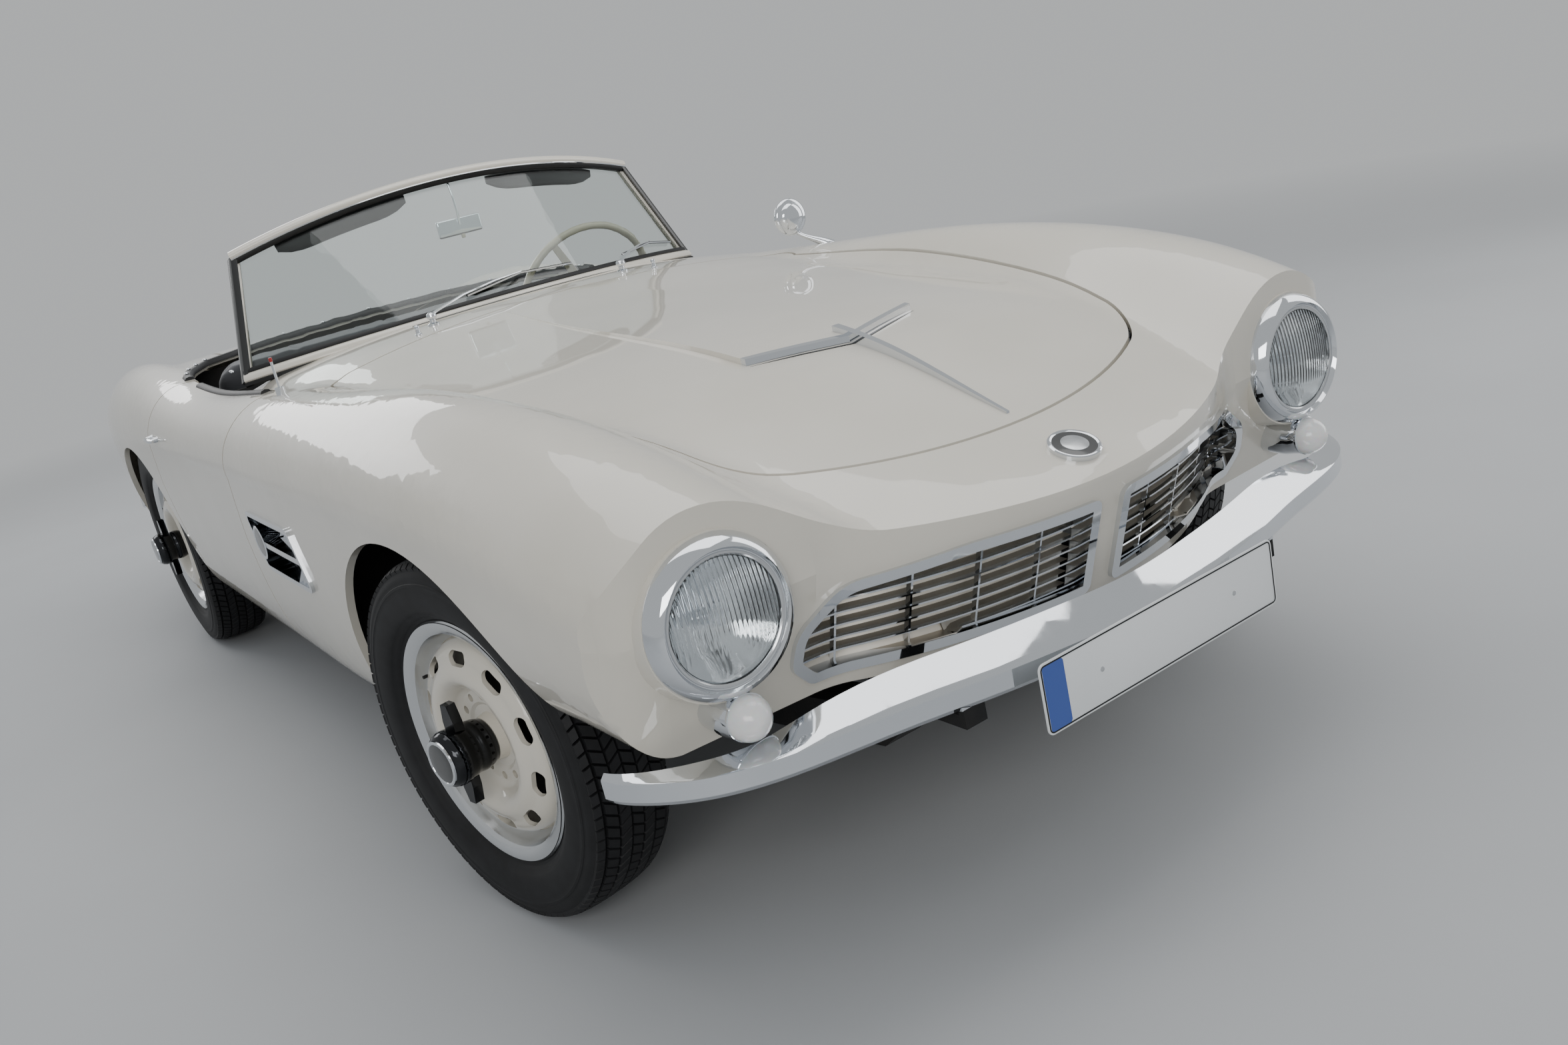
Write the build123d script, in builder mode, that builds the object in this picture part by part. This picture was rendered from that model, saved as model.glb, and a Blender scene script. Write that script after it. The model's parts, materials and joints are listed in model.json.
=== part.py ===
from build123d import *
from collections import namedtuple
import math
import os

# A late-1950s two-seat roadster with its top stowed, built as separate pieces in one frame.
# Millimetres. +X is the car's left, the nose points along -Y, and Z is up from the ground.

os.makedirs("parts", exist_ok=True)

# ------------------------------------------------------------------ driving dimensions
wheelbase = 2480
front_axle_y = -1340
rear_axle_y = front_axle_y + wheelbase
front_track = 1445
rear_track = 1425
tyre_radius = 337
tyre_width = 166
axle_z = tyre_radius
kingpin_x = 670
steer_rest = 9.6            # the front wheels stand turned this many degrees to the car's left

wall = 16                   # body panels, with their inner frames
gap = 6                     # round the hood, doors and boot lid
trim_rise = 7               # how far mouldings stand off the skin
front_end_y = -2190         # front face of the number plate
rear_end_y = 2190           # rear face of the rear bumper
nose_y = -2130              # leading edge on the centre line
tail_y = 2150               # rearmost skin on the centre line

# ------------------------------------------------------------------ body surface
# One smooth skin is lofted through these stations. Each row is half of a section:
# axle and offset place it, centre_z is the height on the centre line, valley is the low line
# between hood and wing, crown is the top of the wing, side is the widest line, and sill is
# the lower edge. lean widens the shoulder between crown and side.
Station = namedtuple(
    "Station", "axle offset centre_z valley_x valley_z crown_x crown_z side_x side_z sill_x sill_z lean")
stations = [
    Station("front", -860, 572, 300, 552, 618, 684, 752, 575, 610, 412, 0),
    Station("front", -700, 678, 350, 666, 620, 764, 772, 605, 655, 420, 0),
    Station("front", -540, 733, 395, 724, 623, 824, 792, 645, 690, 436, 2),
    Station("front", -320, 806, 435, 790, 628, 873, 808, 684, 722, 450, 5),
    Station("front", -60, 850, 480, 824, 634, 900, 817, 702, 742, 400, 8),
    Station("front", 300, 874, 525, 848, 642, 905, 821, 706, 748, 300, 10),
    Station("front", 750, 902, 565, 872, 660, 886, 823, 706, 745, 252, 10),
    Station("front", 1150, 932, 600, 888, 682, 868, 820, 706, 742, 250, 10),
    Station("rear", -830, 900, 610, 850, 702, 844, 818, 704, 742, 250, 8),
    Station("rear", -400, 893, 600, 866, 694, 866, 822, 700, 742, 252, 4),
    Station("rear", 20, 884, 570, 868, 670, 888, 823, 695, 742, 262, 0),
    Station("rear", 440, 850, 520, 842, 645, 872, 804, 675, 705, 300, 0),
    Station("rear", 780, 770, 460, 764, 604, 806, 752, 636, 640, 345, 0),
    Station("rear", 1080, 640, 400, 632, 545, 668, 650, 560, 540, 400, 0),
]

# wheel arches: an ellipse each, its centre measured from the axle
front_arch = {"y": 45, "z": -37, "half_length": 470, "height": 400}
rear_arch = {"y": 0, "z": -37, "half_length": 425, "height": 372}
wheelhouse_wall_x = 455
liner = 8

# front
lamp_x, lamp_y, lamp_z, lamp_radius = 620, -2016, 630, 116
indicator_x, indicator_y, indicator_z = 622, -2011, 486
nose_radius = 785
nose_shoulder_x = 400
nose_inner_radius = 130
nose_corner_x = 700
nose_corner_radius = 90
grille_rake = 20

# doors, hood, boot and cockpit
door_bottom_z = 275
door_inner_x = 661
cowl_half_width = door_inner_x - gap
door_front_y = front_axle_y + 1172
door_front_top_y = front_axle_y + 1078
door_rear_y = rear_axle_y - 402
door_rear_top_y = rear_axle_y - 500
door_rear_low_y = rear_axle_y - 490
cockpit_front_y = front_axle_y + 1215
cockpit_corner_y = front_axle_y + 1412
cockpit_rear_y = rear_axle_y - 100
boot_front_y = rear_axle_y - 60
boot_rear_y = rear_axle_y + 760
door_open_angle = 65

# windscreen: base and header are arcs through a centre point and two corners
screen_base = {"centre": (-170, 925), "corner": (52, 888), "half_width": 652}
screen_head = {"centre": (60, 1246), "corner": (161, 1166), "half_width": 570}
glass_thickness = 6

# underbody
floor_z = 215
floor_thickness = 20
firewall_y = front_axle_y + 820
bulkhead_y = rear_axle_y - 455
rail_x = 330
rail_width = 70
tunnel_half_width = 125
tunnel_top_z = 430
iron_z = 382                # bumper irons, over the end crossmembers


def station_y(s):
    return (front_axle_y if s.axle == "front" else rear_axle_y) + s.offset


def half_section(s, inset):
    """Curves of one section, moved inward by inset."""
    centre_z = s.centre_z - inset
    valley_x, valley_z = s.valley_x - 0.3 * inset, s.valley_z - inset
    crown_x, crown_z = s.crown_x - 0.2 * inset, s.crown_z - inset
    side_x, side_z = s.side_x - inset, s.side_z
    sill_x, sill_z = s.sill_x - inset, s.sill_z
    hood_x, hood_z = 0.45 * valley_x, (4 * centre_z - valley_z) / 3
    run = math.hypot(valley_x - hood_x, valley_z - hood_z)
    reach = 0.35 * (crown_x - valley_x) / run
    rise_x = valley_x + reach * (valley_x - hood_x)
    rise_z = valley_z + reach * (valley_z - hood_z)
    shoulder = 0.55 * (crown_z - side_z) * math.tan(math.radians(s.lean))
    height = side_z - sill_z
    top = [(-valley_x, valley_z), (-hood_x, hood_z), (hood_x, hood_z), (valley_x, valley_z)]
    flank = [
        [(valley_x, valley_z), (rise_x, rise_z),
         (crown_x - 0.45 * (crown_x - valley_x), crown_z), (crown_x, crown_z)],
        [(crown_x, crown_z), (crown_x + 0.55 * (side_x - crown_x), crown_z),
         (side_x + shoulder, side_z + 0.5 * (crown_z - side_z)), (side_x, side_z)],
        [(side_x, side_z), (side_x, side_z - 0.5 * height),
         (sill_x + 0.75 * (side_x - sill_x), sill_z + 0.06 * height), (sill_x, sill_z)],
    ]
    return top, flank


def body_loft(inset, skirt=0):
    with BuildPart() as skin:
        for s in stations:
            top, flank = half_section(s, inset)
            sill_x = s.sill_x - inset
            with BuildSketch(Plane.XZ.offset(-station_y(s))):
                with BuildLine():
                    Bezier(*top)
                    for mirror_x in (1, -1):
                        for curve in flank:
                            Bezier(*[(mirror_x * x, z) for x, z in curve])
                        if skirt:
                            Line((mirror_x * sill_x, s.sill_z), (mirror_x * sill_x, s.sill_z - skirt))
                    Line((-sill_x, s.sill_z - skirt), (sill_x, s.sill_z - skirt))
                make_face()
        loft()
    return skin.part


def nose_points(shift):
    """Half of the nose's plan outline, shifted back: arc, reverse arc, lamp face, corner."""
    arc_y = nose_y + nose_radius + shift
    a = math.asin(nose_shoulder_x / nose_radius)

    def on_nose(t):
        return (nose_radius * math.sin(t), arc_y - nose_radius * math.cos(t))

    p1 = on_nose(a)
    centre2 = (p1[0] + nose_inner_radius * math.sin(a), p1[1] - nose_inner_radius * math.cos(a))

    def on_inner(t):
        return (centre2[0] - nose_inner_radius * math.sin(t), centre2[1] + nose_inner_radius * math.cos(t))

    face = math.radians(3)
    p2 = on_inner(face)
    p3 = (nose_corner_x, p2[1] + (nose_corner_x - p2[0]) * math.tan(face))
    centre3 = (p3[0] - nose_corner_radius * math.sin(face), p3[1] + nose_corner_radius * math.cos(face))

    def on_corner(t):
        return (centre3[0] + nose_corner_radius * math.sin(t), centre3[1] - nose_corner_radius * math.cos(t))

    p4 = on_corner(math.radians(62))
    p5 = (p4[0] + 130, p4[1] + 244)
    return {"tip": on_nose(0), "nose": on_nose(a / 2), "shoulder": p1, "inner": on_inner((a + face) / 2),
            "face": p2, "corner": p3, "round": on_corner(math.radians(32)), "flank": p4, "wing": p5}


def nose_shaper(levels):
    """Everything behind the nose's outline, which is given a shift at each height."""
    with BuildPart() as shaper:
        for z, shift in levels:
            pts = nose_points(shift)
            with BuildSketch(Plane.XY.offset(z)):
                with BuildLine():
                    for m in (1, -1):
                        p = {name: (m * x, y) for name, (x, y) in pts.items()}
                        ThreePointArc(p["tip"], p["nose"], p["shoulder"])
                        ThreePointArc(p["shoulder"], p["inner"], p["face"])
                        Line(p["face"], p["corner"])
                        ThreePointArc(p["corner"], p["round"], p["flank"])
                        Line(p["flank"], p["wing"])
                        Line(p["wing"], (p["wing"][0], 3000))
                    Line((-pts["wing"][0], 3000), (pts["wing"][0], 3000))
                make_face()
        loft(ruled=True)
    return shaper.part


tail_radius = 2100
tail_half_width = 430
tail_corner_radius = 190


def tail_shaper(levels):
    """Everything ahead of the tail's outline, which is given a shift at each height."""
    with BuildPart() as shaper:
        for z, shift in levels:
            a = math.asin(tail_half_width / tail_radius)
            end_y = tail_y + shift
            edge = (tail_half_width, end_y - tail_radius * (1 - math.cos(a)))
            centre = (edge[0] - tail_corner_radius * math.sin(a), edge[1] - tail_corner_radius * math.cos(a))

            def on_corner(t):
                return (centre[0] + tail_corner_radius * math.sin(t),
                        centre[1] + tail_corner_radius * math.cos(t))

            bend, flank = on_corner(math.radians(35)), on_corner(math.radians(58))
            wing = (flank[0] + 320, flank[1] - 512)
            with BuildSketch(Plane.XY.offset(z)):
                with BuildLine():
                    ThreePointArc((-edge[0], edge[1]), (0, end_y), edge)
                    for m in (1, -1):
                        ThreePointArc((m * edge[0], edge[1]), (m * bend[0], bend[1]), (m * flank[0], flank[1]))
                        Line((m * flank[0], flank[1]), (m * wing[0], wing[1]))
                        Line((m * wing[0], wing[1]), (m * wing[0], -3000))
                    Line((-wing[0], -3000), (wing[0], -3000))
                make_face()
        loft(ruled=True)
    return shaper.part


face_drop = math.tan(math.radians(grille_rake))
lamp_level_z = 630
nose_levels = [(60, (lamp_level_z - 60) * face_drop), (lamp_level_z, 0), (1150, 0)]
tail_levels = [(60, -190), (560, 0), (1150, 0)]


def body_volume(inset, skirt=0):
    with BuildPart() as volume:
        add(body_loft(inset, skirt))
        add(nose_shaper([(z, shift + inset) for z, shift in nose_levels]), mode=Mode.INTERSECT)
        add(tail_shaper([(z, shift - inset) for z, shift in tail_levels]), mode=Mode.INTERSECT)
    return volume.part


outer_body = body_volume(0)
inner_body = body_volume(wall, skirt=160)
raised_body = body_volume(-trim_rise)


# ------------------------------------------------------------------ outlines of the openings
def hood_face(grow):
    """Plan of the hood, grown by the gap for its opening."""
    f = front_axle_y
    with BuildSketch() as plan:
        with BuildLine():
            ThreePointArc((-369, f - 519), (0, f - 616), (369, f - 519))
            for m in (1, -1):
                ThreePointArc((m * 369, f - 519), (m * 425, f - 466), (m * 462, f - 380))
                ThreePointArc((m * 462, f - 380), (m * 548, f + 70), (m * 598, f + 760))
                ThreePointArc((m * 598, f + 760), (m * 596, f + 860), (m * 540, f + 908))
            ThreePointArc((-540, f + 908), (0, f + 988), (540, f + 908))
        make_face()
        if grow:
            offset(amount=grow)
    return plan.sketch


def cockpit_face(shrink):
    """Plan of the cockpit opening, from the windscreen's foot round behind the seats."""
    w = cowl_half_width
    with BuildSketch() as plan:
        with BuildLine():
            ThreePointArc((-w, cockpit_corner_y), (0, cockpit_front_y), (w, cockpit_corner_y))
            for m in (1, -1):
                Line((m * w, cockpit_corner_y), (m * w, door_rear_top_y))
                ThreePointArc((m * w, door_rear_top_y), (m * 0.955 * w, door_rear_top_y + 190),
                              (m * 0.83 * w, cockpit_rear_y - 40))
            ThreePointArc((-0.83 * w, cockpit_rear_y - 40), (0, cockpit_rear_y),
                          (0.83 * w, cockpit_rear_y - 40))
        make_face()
        if shrink:
            offset(amount=-shrink)
    return plan.sketch


def boot_face(grow):
    f, r, w = boot_front_y, boot_rear_y, 470
    with BuildSketch() as plan:
        with BuildLine():
            ThreePointArc((-w, f + 22), (0, f), (w, f + 22))
            for m in (1, -1):
                Line((m * w, f + 22), (m * (w - 60), r - 140))
                ThreePointArc((m * (w - 60), r - 140), (m * (w - 95), r - 48), (m * (w - 190), r - 14))
            ThreePointArc((-(w - 190), r - 14), (0, r), (w - 190, r - 14))
        make_face()
        fillet(plan.vertices().group_by(Axis.Y)[0], radius=60)
        if grow:
            offset(amount=grow)
    return plan.sketch


def door_face(grow):
    """Side view of a door, Y across and Z up."""
    with BuildSketch() as side:
        with BuildLine():
            Line((door_front_y, door_bottom_z), (door_front_y, 560))
            ThreePointArc((door_front_y, 560), (door_front_y - 42, 745), (door_front_top_y, 960))
            Line((door_front_top_y, 960), (door_rear_top_y - 20, 960))
            ThreePointArc((door_rear_top_y - 20, 960), (door_rear_top_y + 70, 755), (door_rear_y, 600))
            Line((door_rear_y, 600), (door_rear_low_y, door_bottom_z))
            Line((door_rear_low_y, door_bottom_z), (door_front_y, door_bottom_z))
        make_face()
        if grow:
            offset(amount=grow)
    return side.sketch


def arch_solid(axle_y, arch, from_x, to_x, grow=0):
    """Elliptical wheel-arch cutters on both sides, between two distances from the centre."""
    with BuildPart() as cutter:
        with BuildSketch(Plane.YZ.offset(from_x)):
            with Locations((axle_y + arch["y"], axle_z + arch["z"])):
                Ellipse(arch["half_length"] + grow, arch["height"] + grow)
        extrude(amount=to_x - from_x)
        mirror(about=Plane.YZ)
    return cutter.part


kidney = [(24, 604), (250, 612), (420, 600), (498, 545), (506, 490), (472, 452), (24, 444)]
kidney_radii = [16, 420, 90, 60, 30, 26, 16]


def kidney_face(shrink):
    with BuildSketch(Plane.XZ.offset(-nose_y + 60)) as face:
        for m in (1, -1):
            with BuildLine():
                FilletPolyline(*[(m * x, z) for x, z in kidney], radius=kidney_radii, close=True)
            make_face()
        if shrink:
            offset(amount=-shrink)
    return face.sketch


vent = {"y": front_axle_y + 640, "length": 410, "low_z": 505, "high_z": 645, "slant": 48}


def vent_profile(shrink):
    """Side view of a wing vent, Y across and Z up."""
    y0, y1 = vent["y"], vent["y"] + vent["length"]
    with BuildSketch() as face:
        with BuildLine():
            Polyline((y0, vent["low_z"]), (y1 - vent["slant"], vent["low_z"]), (y1, vent["high_z"]),
                     (y0 + vent["slant"], vent["high_z"]), close=True)
        make_face()
        fillet(face.vertices(), radius=22)
        if shrink:
            offset(amount=-shrink)
    return face.sketch


pieces = {}


def keep(name, part):
    part.label = name
    pieces[name] = part


# ------------------------------------------------------------------ lamps
lamp_bowl_depth = 78
lens_bulge = 14
lens_radius = 88
bezel_edge = 17             # how far the bezel's outer edge sits behind the lens


def facing_forward(x, y, z):
    """A plane for turned lamp parts: across is the radius and up is towards the nose."""
    return Plane(origin=(x, y, z), x_dir=(1, 0, 0), z_dir=(0, 0, 1))


with BuildPart() as lamp_bowls:
    for m in (1, -1):
        # headlamp: a rolled bezel with a second inner lip round a dished reflector
        with BuildSketch(facing_forward(m * lamp_x, lamp_y, lamp_z)):
            with BuildLine():
                Polyline((0, lamp_bowl_depth), (lamp_radius - 9, lamp_bowl_depth),
                         (lamp_radius - 9, bezel_edge + 6), (lamp_radius, bezel_edge + 6),
                         (lamp_radius, bezel_edge), (lamp_radius - 4, 6), (lamp_radius - 11, -5),
                         (lamp_radius - 18, -9), (lamp_radius - 21, -4), (lamp_radius - 22, -2),
                         (lamp_radius - 26, -1), (lens_radius + 1, 1), (lens_radius + 1, 4),
                         (lens_radius - 3, 4), (lens_radius - 30, 42), (0, 62), close=True)
            make_face()
        revolve(axis=Axis((m * lamp_x, lamp_y, lamp_z), (0, 1, 0)))
        # indicator: a teardrop housing that runs back into the wing
        with BuildSketch(facing_forward(m * indicator_x, indicator_y, indicator_z)):
            with BuildLine():
                Polyline((0, 0), (30, 0), (33, 8), (37, 34), (36, 70), (28, 104), (0, 118), close=True)
            make_face()
        revolve(axis=Axis((m * indicator_x, indicator_y, indicator_z), (0, 1, 0)))
keep("lamp_bowls", lamp_bowls.part)

# ------------------------------------------------------------------ body panels
with BuildPart() as panel_skin:
    add(outer_body)
    add(inner_body, mode=Mode.SUBTRACT)

# every opening in the skin, as one cutter
with BuildPart() as openings:
    extrude(hood_face(gap), amount=1200)
    extrude(cockpit_face(0), amount=1200)
    extrude(boot_face(gap + 2), amount=1200)
    for m in (1, -1):
        with BuildSketch(Plane.YZ.offset(m * cowl_half_width)):
            add(door_face(gap))
        extrude(amount=m * 400)
    add(arch_solid(front_axle_y, front_arch, wheelhouse_wall_x, 1000))
    add(arch_solid(rear_axle_y, rear_arch, wheelhouse_wall_x, 1000))
    extrude(kidney_face(0), amount=-300)
    with BuildSketch(Plane.YZ.offset(-900)):
        add(vent_profile(0))
    extrude(amount=1800)
    with BuildSketch(Plane.XZ.offset(-nose_y + 60)):
        with Locations((lamp_x, lamp_z), (-lamp_x, lamp_z)):
            Circle(lamp_radius - 10)
    extrude(amount=-250)
    # slots for the irons that carry the rear bumper
    with Locations(*[(m * rail_x, tail_y - 100, iron_z) for m in (1, -1)]):
        Box(46, 300, 26)

with BuildPart() as shell:
    add(panel_skin.part)
    add(openings.part, mode=Mode.SUBTRACT)


# the shell is cut where the front and rear bodies meet, under the doors
def front_zone():
    with BuildPart() as zone:
        with BuildSketch(Plane.XY):
            with Locations((0, door_front_y - gap - 1500)):
                Rectangle(2400, 3000)
        extrude(amount=1500)
        with BuildSketch(Plane.XY.offset(600)):
            with Locations((0, door_front_y)):
                Rectangle(2 * cowl_half_width + 1, 700)
        extrude(amount=900)
    return zone.part


cowl_zone = front_zone()
with BuildPart() as lamp_shrouds:
    # painted collars that carry the wings forward to the bezels
    for m in (1, -1):
        with BuildSketch(facing_forward(m * lamp_x, lamp_y, lamp_z)):
            with BuildLine():
                Polyline((lamp_radius - 10, bezel_edge + 1), (lamp_radius + 2, bezel_edge + 1),
                         (lamp_radius + 6, 50), (lamp_radius + 12, 92), (lamp_radius - 10, 92), close=True)
            make_face()
        revolve(axis=Axis((m * lamp_x, lamp_y, lamp_z), (0, 1, 0)))
with BuildPart() as front_body:
    add(shell.part)
    add(cowl_zone, mode=Mode.INTERSECT)
    add(lamp_shrouds.part)
    add(lamp_bowls.part, mode=Mode.SUBTRACT)
keep("front_body", front_body.part)

with BuildPart() as rear_body:
    add(shell.part)
    add(cowl_zone, mode=Mode.SUBTRACT)
keep("rear_body", rear_body.part)

# the air scoop: a V across the hood, with a bulge behind it that fades out at the cowl
scoop = {"tip_x": 190, "tip_y": front_axle_y - 168, "centre_y": front_axle_y - 232, "width": 14, "rise": 12}
bulge_rear = {"x": 131, "y": front_axle_y + 960}
bulge_slope = math.degrees(math.atan(scoop["rise"] / (bulge_rear["y"] - scoop["centre_y"])))
with BuildPart() as bulge:
    with BuildSketch(Plane.XY.offset(700)):
        with BuildLine():
            Polyline((-scoop["tip_x"], scoop["tip_y"] + scoop["width"]),
                     (0, scoop["centre_y"] + scoop["width"]),
                     (scoop["tip_x"], scoop["tip_y"] + scoop["width"]), (bulge_rear["x"], bulge_rear["y"]),
                     (-bulge_rear["x"], bulge_rear["y"]), close=True)
        make_face()
    extrude(amount=400)
    add(outer_body.rotate(Axis((0, bulge_rear["y"], 890), (1, 0, 0)), -bulge_slope), mode=Mode.INTERSECT)
    add(inner_body, mode=Mode.SUBTRACT)

with BuildPart() as hood:
    extrude(hood_face(0), amount=1200)
    add(panel_skin.part, mode=Mode.INTERSECT)
    add(bulge.part)
keep("hood", hood.part)

with BuildPart() as boot_lid:
    with BuildSketch(Plane.XY.offset(500)):
        add(boot_face(0))
    extrude(amount=700)
    add(panel_skin.part, mode=Mode.INTERSECT)
keep("boot_lid", boot_lid.part)


# a door is one solid from its outer skin to its inner trim, which leans out below the belt
door_inner = [(door_inner_x, 960), (door_inner_x, 800), (712, 720), (712, 400), (690, 330), (690, 200),
              (1000, 200), (1000, 960)]
for side, m in (("left", 1), ("right", -1)):
    with BuildPart() as door:
        with BuildSketch(Plane.YZ.offset(0 if m > 0 else -1000)):
            add(door_face(0))
        extrude(amount=1000)
        with BuildSketch(Plane.XZ.offset(-door_rear_y - 300)):
            with BuildLine():
                Polyline(*[(m * x, z) for x, z in door_inner], close=True)
            make_face()
        extrude(amount=1800, mode=Mode.INTERSECT)
        add(outer_body, mode=Mode.INTERSECT)
    keep("door_" + side, door.part)


# ------------------------------------------------------------------ mouldings that follow the skin
spear = {"rear_y": front_axle_y - 185, "front_y": front_axle_y - 592, "rear_width": 16, "front_width": 6}
spear_slope, spear_lift = 2.4, 4
with BuildPart() as scoop_lip:
    with BuildSketch(Plane.XY.offset(600)):
        with BuildLine():
            Polyline((-scoop["tip_x"], scoop["tip_y"]), (0, scoop["centre_y"]),
                     (scoop["tip_x"], scoop["tip_y"]),
                     (scoop["tip_x"], scoop["tip_y"] + scoop["width"]),
                     (0, scoop["centre_y"] + scoop["width"]),
                     (-scoop["tip_x"], scoop["tip_y"] + scoop["width"]), close=True)
        make_face()
    extrude(amount=600)
    add(raised_body.moved(Location((0, 0, scoop["rise"] - trim_rise))), mode=Mode.INTERSECT)
with BuildPart() as spear_fin:
    with BuildSketch(Plane.XY.offset(600)):
        with BuildLine():
            Polyline((-spear["rear_width"] / 2, spear["rear_y"]), (-spear["front_width"] / 2, spear["front_y"]),
                     (spear["front_width"] / 2, spear["front_y"]), (spear["rear_width"] / 2, spear["rear_y"]),
                     close=True)
        make_face()
    extrude(amount=600)
    add(outer_body.rotate(Axis((0, spear["front_y"], 740), (1, 0, 0)), spear_slope)
        .moved(Location((0, 0, spear_lift))), mode=Mode.INTERSECT)
with BuildPart() as hood_trim:
    add(scoop_lip.part)
    add(spear_fin.part)
    add(outer_body, mode=Mode.SUBTRACT)
    add(bulge.part, mode=Mode.SUBTRACT)
keep("hood_trim", hood_trim.part)

badge_y, badge_radius = front_axle_y - 722, 41
with BuildPart() as nose_badge:
    with BuildSketch(Plane.XY.offset(600)):
        with Locations((0, badge_y)):
            Circle(badge_radius)
    extrude(amount=200)
    add(raised_body, mode=Mode.INTERSECT)
    add(outer_body, mode=Mode.SUBTRACT)
keep("nose_badge", nose_badge.part)


# ------------------------------------------------------------------ grilles
# Each grille is one solid: a frame that follows the raked face, thin level slats set back in it,
# and upright dividers behind the slats.
slat_count, slat_thickness, slat_depth = 7, 3, 34
divider_count, divider_thickness = 4, 3
frame_width, frame_depth, slat_set = 17, 52, 10


def face_band(front, back, low_z, high_z):
    """A curved layer of the raked nose face, between two depths and two heights."""
    with BuildPart() as band:
        for z in (low_z, high_z):
            rake = (630 - z) * face_drop
            front_pts, back_pts = nose_points(rake + front), nose_points(rake + back)
            with BuildSketch(Plane.XY.offset(z)):
                with BuildLine():
                    for pts in (front_pts, back_pts):
                        for m in (1, -1):
                            p = {name: (m * x, y) for name, (x, y) in pts.items()}
                            ThreePointArc(p["tip"], p["nose"], p["shoulder"])
                            ThreePointArc(p["shoulder"], p["inner"], p["face"])
                            Line(p["face"], p["corner"])
                    for m in (1, -1):
                        Line((m * front_pts["corner"][0], front_pts["corner"][1]),
                             (m * back_pts["corner"][0], back_pts["corner"][1]))
                make_face()
        loft(ruled=True)
    return band.part


kidney_low = min(z for x, z in kidney)
kidney_high = max(z for x, z in kidney)
slat_pitch = (kidney_high - kidney_low) / (slat_count + 1)
with BuildPart() as lattice:
    for i in range(slat_count):
        slat_z = kidney_low + slat_pitch * (i + 1)
        add(face_band(slat_set, slat_set + slat_depth,
                      slat_z - slat_thickness / 2, slat_z + slat_thickness / 2))
with BuildPart() as grilles:
    add(face_band(-9, frame_depth, 400, 640))
    extrude(kidney_face(0), amount=-400, mode=Mode.INTERSECT)
    extrude(kidney_face(frame_width), amount=-400, mode=Mode.SUBTRACT)
with BuildPart() as slats:
    add(lattice.part)
    extrude(kidney_face(frame_width - 2), amount=-400, mode=Mode.INTERSECT)
with BuildPart() as dividers:
    add(face_band(slat_set + 2, slat_set + 12, 400, 640))
    with BuildSketch(Plane.XZ.offset(-nose_y + 60)):
        with Locations(*[(m * (118 + 101 * i), 520) for i in range(divider_count) for m in (1, -1)]):
            Rectangle(divider_thickness, 400)
    extrude(amount=-400, mode=Mode.INTERSECT)
    extrude(kidney_face(frame_width - 2), amount=-400, mode=Mode.INTERSECT)
with BuildPart() as grille_set:
    add(grilles.part)
    add(slats.part)
    add(dividers.part)
keep("grilles", grille_set.part)


# ------------------------------------------------------------------ lenses
lens_thickness = 6
lens_sphere = (lens_radius ** 2 + lens_bulge ** 2) / (2 * lens_bulge)
with BuildPart() as headlamp_lenses:
    with Locations(*[(m * lamp_x, lamp_y - lens_bulge + lens_sphere, lamp_z) for m in (1, -1)]):
        Sphere(lens_sphere)
        Sphere(lens_sphere - lens_thickness, mode=Mode.SUBTRACT)
    with BuildSketch(Plane.XZ.offset(-lamp_y - 4)):
        with Locations((lamp_x, lamp_z), (-lamp_x, lamp_z)):
            Circle(lens_radius)
    extrude(amount=40, mode=Mode.INTERSECT)
keep("headlamp_lenses", headlamp_lenses.part)

with BuildPart() as indicator_lenses:
    for m in (1, -1):
        with BuildSketch(facing_forward(m * indicator_x, indicator_y, indicator_z)):
            with BuildLine():
                Line((0, 0), (0, -40))
                ThreePointArc((0, -40), (24, -27), (33, 0))
                Line((33, 0), (0, 0))
            make_face()
        revolve(axis=Axis((m * indicator_x, indicator_y, indicator_z), (0, 1, 0)))
keep("indicator_lenses", indicator_lenses.part)

tail_lamp = {"x": 560, "y": tail_y - 105, "z": 590, "radius": 40}
with BuildPart() as tail_lamps:
    for m in (1, -1):
        with BuildSketch(Plane(origin=(m * tail_lamp["x"], tail_lamp["y"] - 60, tail_lamp["z"]),
                               x_dir=(1, 0, 0), z_dir=(0, 1, 0))):
            Ellipse(tail_lamp["radius"] * 0.8, tail_lamp["radius"] * 1.3)
        extrude(amount=110)
    add(outer_body, mode=Mode.SUBTRACT)
keep("tail_lamps", tail_lamps.part)


# ------------------------------------------------------------------ side vents
with BuildPart() as side_vents:
    for m in (1, -1):
        with BuildSketch(Plane.YZ.offset(m * 760)):
            add(vent_profile(0))
            add(vent_profile(12), mode=Mode.SUBTRACT)
            with Locations((vent["y"] + vent["length"] / 2, (vent["low_z"] + vent["high_z"]) / 2)):
                Rectangle(vent["length"] - 60, 14)
            with Locations((vent["y"] + vent["length"] - 70, (vent["low_z"] + vent["high_z"]) / 2)):
                Circle(40)
        extrude(amount=m * 100)
        with BuildSketch(Plane.YZ.offset(m * 760)):
            add(vent_profile(0))
        extrude(amount=m * 8)
    add(raised_body, mode=Mode.INTERSECT)
keep("side_vents", side_vents.part)


# ------------------------------------------------------------------ bumpers and plates
plate_length, plate_height, plate_thickness = 520, 110, 3
front_bumper_y = front_end_y + plate_thickness
blade_thickness = 6
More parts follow.
